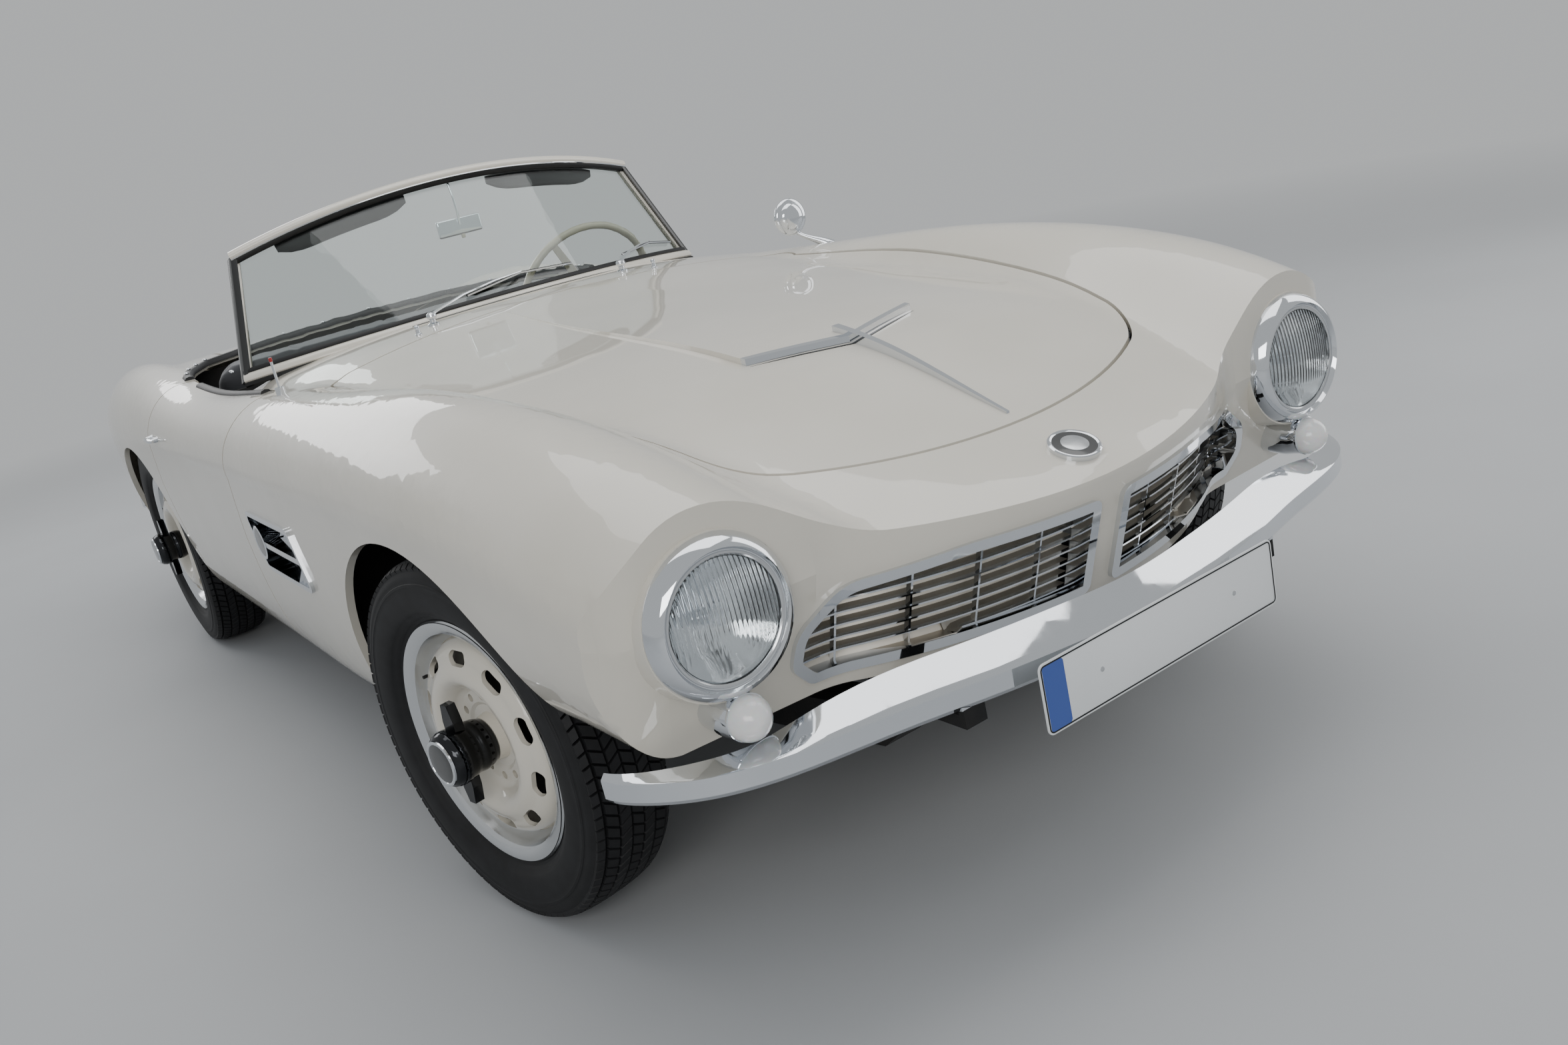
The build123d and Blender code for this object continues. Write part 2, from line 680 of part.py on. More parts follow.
# half of a blade, from the centre out: across, set back from the foremost point, and the size of
# its sloped upper face, up and back
BladeStation = namedtuple("BladeStation", "x back rise inset")
front_blade = [
    BladeStation(0, 0, 40, 52), BladeStation(150, 16, 40, 52), BladeStation(300, 46, 40, 52),
    BladeStation(430, 80, 38, 52), BladeStation(550, 105, 26, 50), BladeStation(640, 131, 10, 46),
    BladeStation(705, 166, 9, 36), BladeStation(752, 210, 9, 25), BladeStation(783, 254, 9, 15),
    BladeStation(799, 297, 8, 9),
]
rear_blade = [
    BladeStation(0, 0, 34, 26), BladeStation(200, 14, 34, 26), BladeStation(400, 52, 34, 26),
    BladeStation(540, 96, 33, 25), BladeStation(640, 148, 30, 22), BladeStation(705, 212, 24, 17),
    BladeStation(742, 290, 18, 12), BladeStation(760, 370, 12, 8),
]


def bumper(blade, foremost_y, inward, low_z):
    """A bent sheet blade: an upright face turned in at its foot, and a sloped upper face."""
    whole = [s._replace(x=-s.x) for s in reversed(blade[1:])] + blade
    with BuildPart() as part:
        for i, s in enumerate(whole):
            before, after = whole[max(i - 1, 0)], whole[min(i + 1, len(whole) - 1)]
            along = Vector(after.x - before.x, inward * (after.back - before.back), 0)
            to_car = Vector(0, 0, inward).cross(along).normalized()
            foot = (s.x, foremost_y + inward * s.back, low_z)
            with BuildSketch(Plane(origin=foot, x_dir=to_car, z_dir=to_car.cross(Vector(0, 0, 1)))):
                with BuildLine():
                    Polyline((5, 0), (0, 7), (0, 34), (s.inset * 0.12, 34 + s.rise * 0.24),
                             (s.inset, 34 + s.rise), (s.inset + 2, 30 + s.rise),
                             (s.inset * 0.12 + blade_thickness, 29 + s.rise * 0.24),
                             (blade_thickness, 30), (blade_thickness, 9), (5 + blade_thickness, 3),
                             close=True)
                make_face()
        loft()
    return part.part


front_bumper = bumper(front_blade, front_bumper_y, 1, 403)
keep("front_bumper", front_bumper)
rear_bumper = bumper(rear_blade, rear_end_y, -1, 367)
keep("rear_bumper", rear_bumper)

with BuildPart() as number_plates:
    with Locations((0, front_end_y + plate_thickness / 2, 391)):
        Box(plate_length, plate_thickness, plate_height)
    with Locations((0, tail_y + 8, 510)):
        Box(plate_length, plate_thickness, plate_height)
    with Locations((200, tail_y - 10, 510), (-200, tail_y - 10, 510)):
        Box(20, 34, 60)
    add(outer_body, mode=Mode.SUBTRACT)
keep("number_plates", number_plates.part)


# ------------------------------------------------------------------ windscreen
def screen_plane(arc):
    """A plane through an arc's centre point and its two corners."""
    (cy, cz), (ey, ez) = arc["centre"], arc["corner"]
    rise = Vector(0, ey - cy, ez - cz)
    return Plane(origin=(0, cy, cz), x_dir=(1, 0, 0), z_dir=Vector(1, 0, 0).cross(rise)), rise.length


def screen_band(arc, lift, t0, t1):
    plane, depth = screen_plane(arc)
    w = arc["half_width"]
    with BuildSketch(plane.offset(lift)) as band:
        with BuildLine():
            ThreePointArc((-w, depth + t0), (0, t0), (w, depth + t0))
            ThreePointArc((-w, depth + t1), (0, t1), (w, depth + t1))
            for m in (1, -1):
                Line((m * w, depth + t0), (m * w, depth + t1))
        make_face()
    return band.sketch.face()


with BuildPart() as windscreen_glass:
    loft([screen_band(screen_base, 0, 0, glass_thickness), screen_band(screen_head, 0, 0, glass_thickness)],
         ruled=True)
    screen_volume = windscreen_glass.part

rail_width_z, rail_depth = 26, 30
with BuildPart() as windscreen_frame:
    for arc, height in ((screen_base, 30), (screen_head, 34)):
        plane, depth = screen_plane(arc)
        w = arc["half_width"] + 6
        with BuildSketch(plane.offset(-height / 2 if arc is screen_base else -10)):
            with BuildLine():
                ThreePointArc((-w, depth - 12), (0, -12), (w, depth - 12))
                ThreePointArc((-w, depth + 18), (0, 18), (w, depth + 18))
                for m in (1, -1):
                    Line((m * w, depth - 12), (m * w, depth + 18))
            make_face()
        extrude(amount=height)
    for m in (1, -1):
        base_x, (base_y, base_z) = m * screen_base["half_width"], screen_base["corner"]
        head_x, (head_y, head_z) = m * screen_head["half_width"], screen_head["corner"]
        with BuildSketch(Plane.XY.offset(base_z - 14)):
            with Locations((base_x - m * 4, base_y + 3)):
                Rectangle(26, 38)
        with BuildSketch(Plane.XY.offset(head_z + 8)):
            with Locations((head_x - m * 2, head_y + 3)):
                Rectangle(22, 32)
        loft()
    add(screen_volume, mode=Mode.SUBTRACT)
    add(outer_body, mode=Mode.SUBTRACT)
keep("windscreen_frame", windscreen_frame.part)
with BuildPart() as glass:
    add(windscreen_glass.part)
    add(outer_body, mode=Mode.SUBTRACT)
keep("windscreen_glass", glass.part)


# ------------------------------------------------------------------ floor, bulkheads and wheelhouses
def slab(y0, y1, z0, z1, half_width):
    with Locations((0, (y0 + y1) / 2, (z0 + z1) / 2)):
        Box(2 * half_width, y1 - y0, z1 - z0)


sill_half_width, sill_inner_x = 684, 600
with BuildPart() as floor_tub:
    slab(firewall_y, bulkhead_y, floor_z, floor_z + floor_thickness, sill_half_width)
    slab(firewall_y - 10, firewall_y + 8, floor_z, 905, 745)
    with BuildSketch(Plane.XZ.offset(-firewall_y)):
        with Locations((0, floor_z + 100)):
            Rectangle(2 * tunnel_half_width, 2 * (tunnel_top_z - floor_z - 100))
        with Locations((0, floor_z + 100)):
            Rectangle(2 * tunnel_half_width - 24, 2 * (tunnel_top_z - floor_z - 112), mode=Mode.SUBTRACT)
    extrude(amount=-(bulkhead_y - firewall_y))
    for m in (1, -1):
        with Locations((m * (sill_half_width + sill_inner_x) / 2, (firewall_y + bulkhead_y) / 2, floor_z + 55)):
            Box(sill_half_width - sill_inner_x, bulkhead_y - firewall_y, 110)
    add(inner_body, mode=Mode.INTERSECT)
    add(arch_solid(front_axle_y, front_arch, wheelhouse_wall_x, 1000, liner), mode=Mode.SUBTRACT)
    add(arch_solid(rear_axle_y, rear_arch, wheelhouse_wall_x, 1000, liner), mode=Mode.SUBTRACT)
    for m in (1, -1):
        with BuildSketch(Plane.YZ.offset(m * cowl_half_width)):
            add(door_face(gap))
        extrude(amount=m * 400, mode=Mode.SUBTRACT)

# behind the seats: a bulkhead, the shelf over the rear axle, and the boot's floor
with BuildPart() as rear_deck:
    slab(bulkhead_y, bulkhead_y + 18, floor_z, 800, 780)
    slab(bulkhead_y, rear_axle_y + 198, 640, 656, 780)
    slab(cockpit_rear_y - 10, cockpit_rear_y + 8, 640, 846, 780)
    slab(rear_axle_y + 180, rear_axle_y + 198, 430, 656, 720)
    slab(rear_axle_y + 180, rear_axle_y + 860, 430, 446, 720)
    add(inner_body, mode=Mode.INTERSECT)
    add(arch_solid(rear_axle_y, rear_arch, wheelhouse_wall_x, 1000, liner), mode=Mode.SUBTRACT)
    for m in (1, -1):
        with BuildSketch(Plane.YZ.offset(m * cowl_half_width)):
            add(door_face(gap))
        extrude(amount=m * 400, mode=Mode.SUBTRACT)


# ------------------------------------------------------------------ chassis
rail_side = [
    (front_axle_y - 640, 330), (front_axle_y - 600, 300), (front_axle_y - 260, 250), (front_axle_y + 420, 150),
    (rear_axle_y - 560, 150), (rear_axle_y - 330, 330), (rear_axle_y - 150, 420), (rear_axle_y + 170, 420),
    (rear_axle_y + 400, 340), (rear_axle_y + 830, 330),
]
rail_height = 64
cross_members = [(front_axle_y - 560, 325, 25), (front_axle_y + 480, 180, 25), (rear_axle_y - 600, 180, 25),
                 (rear_axle_y + 232, 436, 22), (rear_axle_y + 700, 362, 22)]
stub_radius = 20
jack_pad = {"x": 520, "front_y": front_axle_y + 640, "rear_y": rear_axle_y - 640, "z": 150, "size": 90}
tow_bore = 12
with BuildPart() as chassis_frame:
    for m in (1, -1):
        with BuildSketch(Plane.YZ.offset(m * rail_x - rail_width / 2)):
            with BuildLine():
                Polyline(*rail_side, *[(y, z + rail_height) for y, z in reversed(rail_side)], close=True)
            make_face()
        extrude(amount=rail_width)
    for y, z, r in cross_members:
        with Locations((0, y, z)):
            Cylinder(r, 2 * rail_x, rotation=(0, 90, 0))
    # front crossmember that carries the wishbones
    with Locations((0, front_axle_y, 282)):
        Box(2 * rail_x, 110, 70)
    with Locations(*[(m * rail_x, front_axle_y, 380) for m in (1, -1)]):
        Box(60, 100, 160)
    # outriggers with jacking pads under the sills
    for y in (jack_pad["front_y"], jack_pad["rear_y"]):
        for m in (1, -1):
            with Locations((m * (rail_x + jack_pad["x"]) / 2, y, jack_pad["z"] + 32)):
                Box(jack_pad["x"] - rail_x, 60, 64)
            with Locations((m * jack_pad["x"], y, jack_pad["z"] + 32)):
                Box(jack_pad["size"], jack_pad["size"], 64)
    # irons to both bumpers, with a foot behind each blade
    front_reach, rear_reach = front_bumper_y + 62, rear_end_y - 46
    for m in (1, -1):
        with Locations((m * rail_x, (front_axle_y - 620 + front_reach) / 2, iron_z)):
            Box(40, front_axle_y - 620 - front_reach, 20)
        with Locations((m * rail_x, front_reach + 6, iron_z + 20)):
            Box(40, 12, 60)
        with Locations((m * rail_x, (rear_axle_y + 800 + rear_reach) / 2, iron_z)):
            Box(40, rear_reach - rear_axle_y - 800, 20)
    add(front_bumper, mode=Mode.SUBTRACT)
    add(rear_bumper, mode=Mode.SUBTRACT)
    # towing eyes: one hangs under the front crossmember, and one lies level behind the rear one
    with Locations((0, front_axle_y - 560, 280)):
        Box(16, 60, 70)
    with Locations((0, front_axle_y - 560, 273)):
        Cylinder(tow_bore, 40, rotation=(0, 90, 0), mode=Mode.SUBTRACT)
    with Locations((0, rear_axle_y + 745, 362)):
        Box(60, 90, 16)
    with Locations((0, rear_axle_y + 760, 362)):
        Cylinder(tow_bore, 40, mode=Mode.SUBTRACT)
keep("chassis_frame", chassis_frame.part)

with BuildPart() as notched_tub:
    add(floor_tub.part)
    add(chassis_frame.part, mode=Mode.SUBTRACT)
keep("floor_tub", notched_tub.part)

with BuildPart() as notched_deck:
    add(rear_deck.part)
    add(chassis_frame.part, mode=Mode.SUBTRACT)
keep("rear_deck", notched_deck.part)

engine = {"y": front_axle_y + 420, "length": 700, "width": 500, "low_z": 214, "high_z": 660}
with BuildPart() as engine_block:
    with Locations((0, engine["y"], (engine["low_z"] + engine["high_z"]) / 2)):
        Box(engine["width"], engine["length"], engine["high_z"] - engine["low_z"])
    with Locations((0, engine["y"] + 60, engine["low_z"] + 20)):
        Box(2 * rail_x, 80, 40)
keep("engine_block", engine_block.part)

with BuildPart() as radiator:
    with Locations((0, front_axle_y - 540, 490)):
        Box(620, 60, 250)
    with Locations((0, front_axle_y - 540, 357)):
        Box(200, 40, 20)
    add(chassis_frame.part, mode=Mode.SUBTRACT)
keep("radiator", radiator.part)

axle_tube, drum_radius, drum_width, drum_out, diff_radius = 42, 150, 62, 603, 118
with BuildPart() as rear_axle:
    with BuildSketch(Plane(origin=(0, rear_axle_y, axle_z), x_dir=(1, 0, 0), z_dir=(0, -1, 0))):
        with BuildLine():
            Polyline((-drum_out, 0), (-drum_out, drum_radius), (drum_width - drum_out, drum_radius),
                     (drum_width - drum_out, axle_tube), (-diff_radius, axle_tube), (-60, diff_radius),
                     (60, diff_radius), (diff_radius, axle_tube), (drum_out - drum_width, axle_tube),
                     (drum_out - drum_width, drum_radius), (drum_out, drum_radius), (drum_out, 0), close=True)
        make_face()
    revolve(axis=Axis((0, rear_axle_y, axle_z), (1, 0, 0)))
    # stub shafts that the rear wheels turn on
    for m in (1, -1):
        with BuildSketch(Plane.YZ.offset(m * (drum_out - 2))):
            with Locations((rear_axle_y, axle_z)):
                Circle(stub_radius)
        extrude(amount=m * (rear_track / 2 + 36 - drum_out))
        with Locations((m * rail_x, rear_axle_y, 396)):
            Box(50, 60, 48)
    add(chassis_frame.part, mode=Mode.SUBTRACT)
keep("rear_axle", rear_axle.part)


# ------------------------------------------------------------------ front suspension and steering
arm_levels = (axle_z - 84, axle_z + 84)


def turned(side_sign, x, y, z):
    """A point given in a straight-ahead wheel's frame about its kingpin, at the rest steer."""
    a = math.radians(steer_rest)
    return (side_sign * kingpin_x + x * math.cos(a) - y * math.sin(a),
            front_axle_y + x * math.sin(a) + y * math.cos(a), z)


def wheel_axis(name):
    """Hub centre and outward spin direction of a wheel."""
    m = 1 if name.endswith("left") else -1
    if name.startswith("front"):
        hub = turned(m, m * (front_track / 2 - kingpin_x), 0, axle_z)
        a = math.radians(steer_rest)
        return Vector(*hub), Vector(m * math.cos(a), m * math.sin(a), 0)
    return Vector(m * rear_track / 2, rear_axle_y, axle_z), Vector(m, 0, 0)


wheel_names = ["front_left", "front_right", "rear_left", "rear_right"]

with BuildPart() as front_suspension:
    for m in (1, -1):
        for z in arm_levels:
            with BuildSketch(Plane.XY.offset(z - 11)):
                with BuildLine():
                    Polyline((m * (rail_x + 30), front_axle_y - 95), (m * (kingpin_x - 16), front_axle_y - 26),
                             (m * (kingpin_x + 8), front_axle_y), (m * (kingpin_x - 16), front_axle_y + 26),
                             (m * (rail_x + 30), front_axle_y + 95), close=True)
                make_face()
                with Locations((m * (rail_x + 110), front_axle_y)):
                    Circle(42, mode=Mode.SUBTRACT)
            extrude(amount=22)
        with Locations((m * (rail_x + 42), front_axle_y, axle_z)):
            Box(24, 190, 190)
    add(chassis_frame.part, mode=Mode.SUBTRACT)
keep("front_suspension", front_suspension.part)

for side, m in (("left", 1), ("right", -1)):
    hub, out = wheel_axis("front_" + side)
    with BuildPart() as knuckle:
        with Locations((m * kingpin_x, front_axle_y, axle_z)):
            Cylinder(22, 2 * (84 - 11))
        with BuildSketch(Plane(origin=hub - out * 60, z_dir=out)):
            Circle(stub_radius)
        extrude(amount=96)
        with BuildSketch(Plane(origin=hub - out * 28, z_dir=out)):
            Circle(140)
        extrude(amount=34)
    keep("knuckle_" + side, knuckle.part)


# ------------------------------------------------------------------ wheels
# profiles are (along the axle, outward positive; radius)
bore = stub_radius + 0.06
wheel_profile = [
    (-62, 222), (-57, 224), (-52, 206), (-20, 204), (-8, 188), (22, 188), (30, 204), (52, 206),
    (57, 224), (62, 225), (65, 222), (63, 212), (57, 202), (44, 198), (32, 192), (26, 184), (30, 181),
    (42, 179), (52, 172), (58, 162), (61, 148), (67, 138), (71, 128), (70, 118), (64, 108), (52, 99),
    (41, 93), (37, 86), (37, 64), (33, 58), (33, 44), (50, 40), (50, bore),
    (14, bore), (14, 42), (28, 46), (29, 90), (34, 97), (50, 106), (60, 114), (63, 122), (61, 130), (55, 142),
    (52, 156), (46, 165), (36, 171), (20, 175), (16, 182), (-12, 182), (-24, 197), (-58, 200),
]
tyre_profile = [(-52, 206), (-57, 224), (-68, 234), (-80, 256), (-83, 286), (-76, 315), (-60, 332), (-30, 337),
                (30, 337), (60, 332), (76, 315), (83, 286), (80, 256), (68, 234), (57, 224), (52, 206)]
spinner_profile = [(52, 0), (52, 40), (62, 44), (74, 46), (88, 44), (98, 47), (112, 50), (124, 50), (134, 46),
                   (139, 40), (141, 34), (141, 0)]
slot_count, slot_radius = 10, 156
hole_count, hole_circle = 12, 76
wheel_face = 141


def radial_plane(hub, out):
    """Across is along the axle, outward, and up is the radius."""
    return Plane(origin=hub, x_dir=out, z_dir=out.cross(Vector(0, 0, 1)))


def turned_profile(profile, hub, out):
    with BuildPart() as solid:
        with BuildSketch(radial_plane(hub, out)):
            with BuildLine():
                Polyline(*profile, close=True)
            make_face()
        revolve(axis=Axis(hub, out))
    return solid.part


for name in wheel_names:
    hub, out = wheel_axis(name)
    keep("tyre_" + name, turned_profile(tyre_profile, hub, out))
    with BuildPart() as wheel:
        add(turned_profile(wheel_profile, hub, out))
        with BuildSketch(Plane(origin=hub + out * 20, x_dir=(0, 0, 1), z_dir=out)):
            with PolarLocations(slot_radius, slot_count):
                SlotOverall(50, 25, rotation=90)
            with PolarLocations(hole_circle, hole_count):
                Circle(7.5)
        extrude(amount=70, mode=Mode.SUBTRACT)
    keep("wheel_" + name, wheel.part)
    with BuildPart() as spinner:
        add(turned_profile(spinner_profile, hub, out))
        with BuildSketch(Plane(origin=hub + out * 90, x_dir=(0, 0, 1), z_dir=out)):
            with BuildLine():
                Polyline((-92, -9), (-60, -17), (60, -17), (92, -9), (92, 9), (60, 17), (-60, 17), (-92, 9),
                         close=True)
            make_face()
        extrude(amount=18)
    keep("spinner_" + name, spinner.part)


# ------------------------------------------------------------------ cockpit
steering_centre = Vector(355, front_axle_y + 1489, 850)
column_rake = 25
column_axis = Vector(0, math.cos(math.radians(column_rake)), math.sin(math.radians(column_rake)))
steering_radius, rim_radius = 205, 11

with BuildPart() as steering_wheel:
    wheel_plane = Plane(origin=steering_centre, x_dir=(1, 0, 0), z_dir=column_axis)
    with BuildSketch(Plane(origin=steering_centre, x_dir=(1, 0, 0), z_dir=wheel_plane.y_dir * -1)):
        with Locations((steering_radius, 0)):
            Circle(rim_radius)
    revolve(axis=Axis(steering_centre, column_axis))
    with BuildSketch(wheel_plane.offset(-24)):
        Circle(44)
    extrude(amount=30)
    with BuildSketch(wheel_plane.offset(-16)):
        with PolarLocations(steering_radius / 2, 3, start_angle=-90):
            Rectangle(steering_radius - 4, 26)
    extrude(amount=9)
keep("steering_wheel", steering_wheel.part)

with BuildPart() as dashboard:
    with BuildSketch(Plane.XZ.offset(-(front_axle_y + 1250))):
        with BuildLine():
            Polyline((-630, 690), (-630, 840), (-200, 890), (200, 890), (630, 840), (630, 690), close=True)
        make_face()
    extrude(amount=-130)
    for x, r in ((355, 62), (250, 34), (460, 34)):
        with BuildSketch(Plane.XZ.offset(-(front_axle_y + 1380))):
            with Locations((x, 800)):
                Circle(r)
        extrude(amount=14, mode=Mode.SUBTRACT)
    add(inner_body, mode=Mode.INTERSECT)

with BuildPart() as steering_column:
    with BuildSketch(Plane(origin=steering_centre - column_axis * 31, z_dir=column_axis * -1)):
        Circle(24)
    extrude(amount=560)
    add(notched_tub.part, mode=Mode.SUBTRACT)
keep("steering_column", steering_column.part)

with BuildPart() as bored_dashboard:
    add(dashboard.part)
    add(steering_column.part, mode=Mode.SUBTRACT)
keep("dashboard", bored_dashboard.part)

seat = {"x": 355, "width": 450, "front_y": front_axle_y + 1450, "rear_y": rear_axle_y - 560, "cushion_z": 420,
        "back_top_z": 800}
with BuildPart() as seats:
    for m in (1, -1):
        with Locations((m * seat["x"], (seat["front_y"] + seat["rear_y"]) / 2,
                        (floor_z + floor_thickness + seat["cushion_z"]) / 2 + 0.15)):
            Box(seat["width"], seat["rear_y"] - seat["front_y"],
                seat["cushion_z"] - floor_z - floor_thickness - 0.3)
        with BuildSketch(Plane.YZ.offset(m * seat["x"] - seat["width"] / 2)):
            with BuildLine():
                Polyline((seat["rear_y"] - 40, seat["cushion_z"] + 0.3),
                         (seat["rear_y"] + 90, seat["cushion_z"] + 0.3), (bulkhead_y - 4, seat["back_top_z"]),
                         (bulkhead_y - 110, seat["back_top_z"]), close=True)
            make_face()
        extrude(amount=seat["width"])
keep("seats", seats.part)

with BuildPart() as tonneau_cover:
    with BuildSketch(Plane.XY.offset(657)):
        with BuildLine():
            w = cowl_half_width - 45
            y0, y1 = bulkhead_y + 19, cockpit_rear_y - 46
            Line((-w, y0), (w, y0))
            Line((w, y0), (w - 70, y1 - 40))
            ThreePointArc((w - 70, y1 - 40), (0, y1), (-(w - 70), y1 - 40))
            Line((-(w - 70), y1 - 40), (-w, y0))
        make_face()
    extrude(amount=215)
keep("tonneau_cover", tonneau_cover.part)


# ------------------------------------------------------------------ fittings
with BuildPart() as mirrors:
    # door mirror on the left wing: foot, stem and round head
    stem = [(668, front_axle_y + 700, 893), (660, front_axle_y + 760, 925), (650, front_axle_y + 800, 960)]
    with Locations((668, front_axle_y + 700, 887)):
        Cylinder(16, 20)
    with BuildLine():
        Line(stem[0], stem[2])
    with BuildSketch(Plane(origin=stem[0], z_dir=Vector(*stem[2]) - Vector(*stem[0]))):
        Circle(6)
    sweep()
    with BuildSketch(Plane(origin=(645, front_axle_y + 800, 966), z_dir=(0, 1, 0))):
        Circle(52)
    extrude(amount=16)
    add(outer_body, mode=Mode.SUBTRACT)
with BuildPart() as inner_mirror:
    with Locations((0, 78, 1130)):
        Box(190, 14, 60)
    with Locations((0, 72, 1190)):
        Cylinder(5, 90)
    add(windscreen_frame.part, mode=Mode.SUBTRACT)
    add(windscreen_glass.part, mode=Mode.SUBTRACT)
with BuildPart() as mirror_set:
    add(mirrors.part)
    add(inner_mirror.part)
keep("mirrors", mirror_set.part)

with BuildPart() as antenna:
    with Locations((-680, front_axle_y + 985, 900)):
        Cylinder(3, 120)
    with Locations((-680, front_axle_y + 985, 880)):
        Cylinder(11, 24)
    add(outer_body, mode=Mode.SUBTRACT)
keep("antenna", antenna.part)

with BuildPart() as wipers:
    for x in (267, -267):
        with Locations((x, front_axle_y + 1068, 920)):
            Cylinder(12, 34)
        with BuildSketch(Plane.XY.offset(934)):
            with BuildLine():
                Polyline((x, front_axle_y + 1062), (x + 330, front_axle_y + 1140),
                         (x + 330, front_axle_y + 1152), (x, front_axle_y + 1076), close=True)
            make_face()
        extrude(amount=6)
    add(outer_body, mode=Mode.SUBTRACT)
    add(windscreen_frame.part, mode=Mode.SUBTRACT)
    add(windscreen_glass.part, mode=Mode.SUBTRACT)
keep("wipers", wipers.part)

for side, m in (("left", 1), ("right", -1)):
    with BuildPart() as handle:
        with Locations((m * 838, door_rear_y - 120, 742)):
            Box(12, 120, 16)
        with Locations((m * 822, door_rear_y - 170, 742), (m * 822, door_rear_y - 70, 742)):
            Box(34, 14, 12)
        add(outer_body, mode=Mode.SUBTRACT)
    keep("door_handle_" + side, handle.part)

exhaust_x, pipe_radius, pipe_z = 200, 20, 140
with BuildPart() as exhaust:
    for m in (1, -1):
        with BuildLine(Plane.YZ.offset(m * exhaust_x)) as pipe_line:
            FilletPolyline((engine["y"] + 250, engine["low_z"]), (engine["y"] + 260, pipe_z),
                           (rear_axle_y - 420, pipe_z), (rear_axle_y, 232), (rear_axle_y + 400, 280), radius=52)
        with BuildSketch(Plane(origin=pipe_line.line @ 0, z_dir=pipe_line.line % 0)):
            Circle(pipe_radius)
        sweep(path=pipe_line.line)
        with Locations((m * exhaust_x, rear_axle_y + 660, 280)):
            Cylinder(62, 560, rotation=(90, 0, 0))
        with Locations((m * exhaust_x, rear_axle_y + 960, 280)):
            Cylinder(pipe_radius, 100, rotation=(90, 0, 0))
    add(chassis_frame.part, mode=Mode.SUBTRACT)
    add(engine_block.part, mode=Mode.SUBTRACT)
keep("exhaust", exhaust.part)

for name, part in pieces.items():
    export_step(part, "parts/" + name + ".step")
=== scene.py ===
"""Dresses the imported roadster: paint, chrome, glass, tyres, wheels, lamps and the trimmed cockpit.

Metres, in the part's own frame: +X is the car's left, the nose points along -Y, Z is up.
Sizes are written in millimetres and turned to metres as a piece is made.
"""
import json
import math

import bmesh
import bpy
from mathutils import Matrix, Vector
from mathutils.bvhtree import BVHTree


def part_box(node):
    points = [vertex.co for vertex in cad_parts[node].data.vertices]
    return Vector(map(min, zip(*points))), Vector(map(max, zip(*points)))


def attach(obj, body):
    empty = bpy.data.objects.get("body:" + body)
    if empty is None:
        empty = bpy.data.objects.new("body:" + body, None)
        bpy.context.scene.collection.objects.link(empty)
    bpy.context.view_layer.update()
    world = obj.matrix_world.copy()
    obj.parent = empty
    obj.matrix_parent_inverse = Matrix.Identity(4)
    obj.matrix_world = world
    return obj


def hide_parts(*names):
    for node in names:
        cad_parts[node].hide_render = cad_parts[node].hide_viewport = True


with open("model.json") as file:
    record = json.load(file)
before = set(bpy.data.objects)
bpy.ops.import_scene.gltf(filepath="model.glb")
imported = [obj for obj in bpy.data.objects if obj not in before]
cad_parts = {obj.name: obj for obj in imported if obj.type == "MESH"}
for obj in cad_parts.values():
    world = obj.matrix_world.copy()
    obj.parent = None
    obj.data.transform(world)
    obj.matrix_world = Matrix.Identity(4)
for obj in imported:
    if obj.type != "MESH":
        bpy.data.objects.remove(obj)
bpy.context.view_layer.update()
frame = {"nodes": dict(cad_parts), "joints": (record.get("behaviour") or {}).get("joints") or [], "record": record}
NODES = frame["nodes"]
JOINTS = {joint["name"]: joint for joint in frame["joints"]}
MM = 0.001
UP = Vector((0, 0, 1))
FORWARD = Vector((0, -1, 0))
LEFT_AND_RIGHT = (1, -1)
SIDES = (("left", 1), ("right", -1))


def at(x, y, z):
    """A place given in millimetres."""
    return Vector((x, y, z)) * MM


# ---------------------------------------------------------------- camera, light and floor
CAMERA_PLACE = Vector((-1.4126, -3.4868, 1.2437))
CAMERA_YAW, CAMERA_PITCH, CAMERA_ROLL = (math.radians(a) for a in (31.805, -16.759, -12.776))
FOCAL_PX, FRAME_WIDTH = 2036.6, 2352
SENSOR_WIDTH = 36
FLOOR_HALF = 60                  # metres from the car to the floor's edge
FADE_REACH = 12.0                # metres out, where the floor would be all wall colour
BACKDROP = "BDBFC0"
SOFT_LIGHT, SOFT_LEVEL = "F1F7FF", 0.56      # what the walls cast on the car
# each soft light: its name, its place and what it faces in metres, its size, and its watts
SOFTBOXES = [
    ("overhead_softbox", (0.4, -0.6, 4.2), (0, -0.2, 0.6), (3.2, 5.0), 95),
    ("nose_softbox", (-3.2, -5.2, 2.6), (0, -1.2, 0.5), (3.0, 1.8), 75),
    ("left_softbox", (4.4, -2.0, 2.2), (0.2, -0.8, 0.6), (2.2, 4.0), 55),
    ("tail_softbox", (-1.0, 5.0, 2.8), (0, 0.8, 0.6), (4.0, 1.6), 60),
]


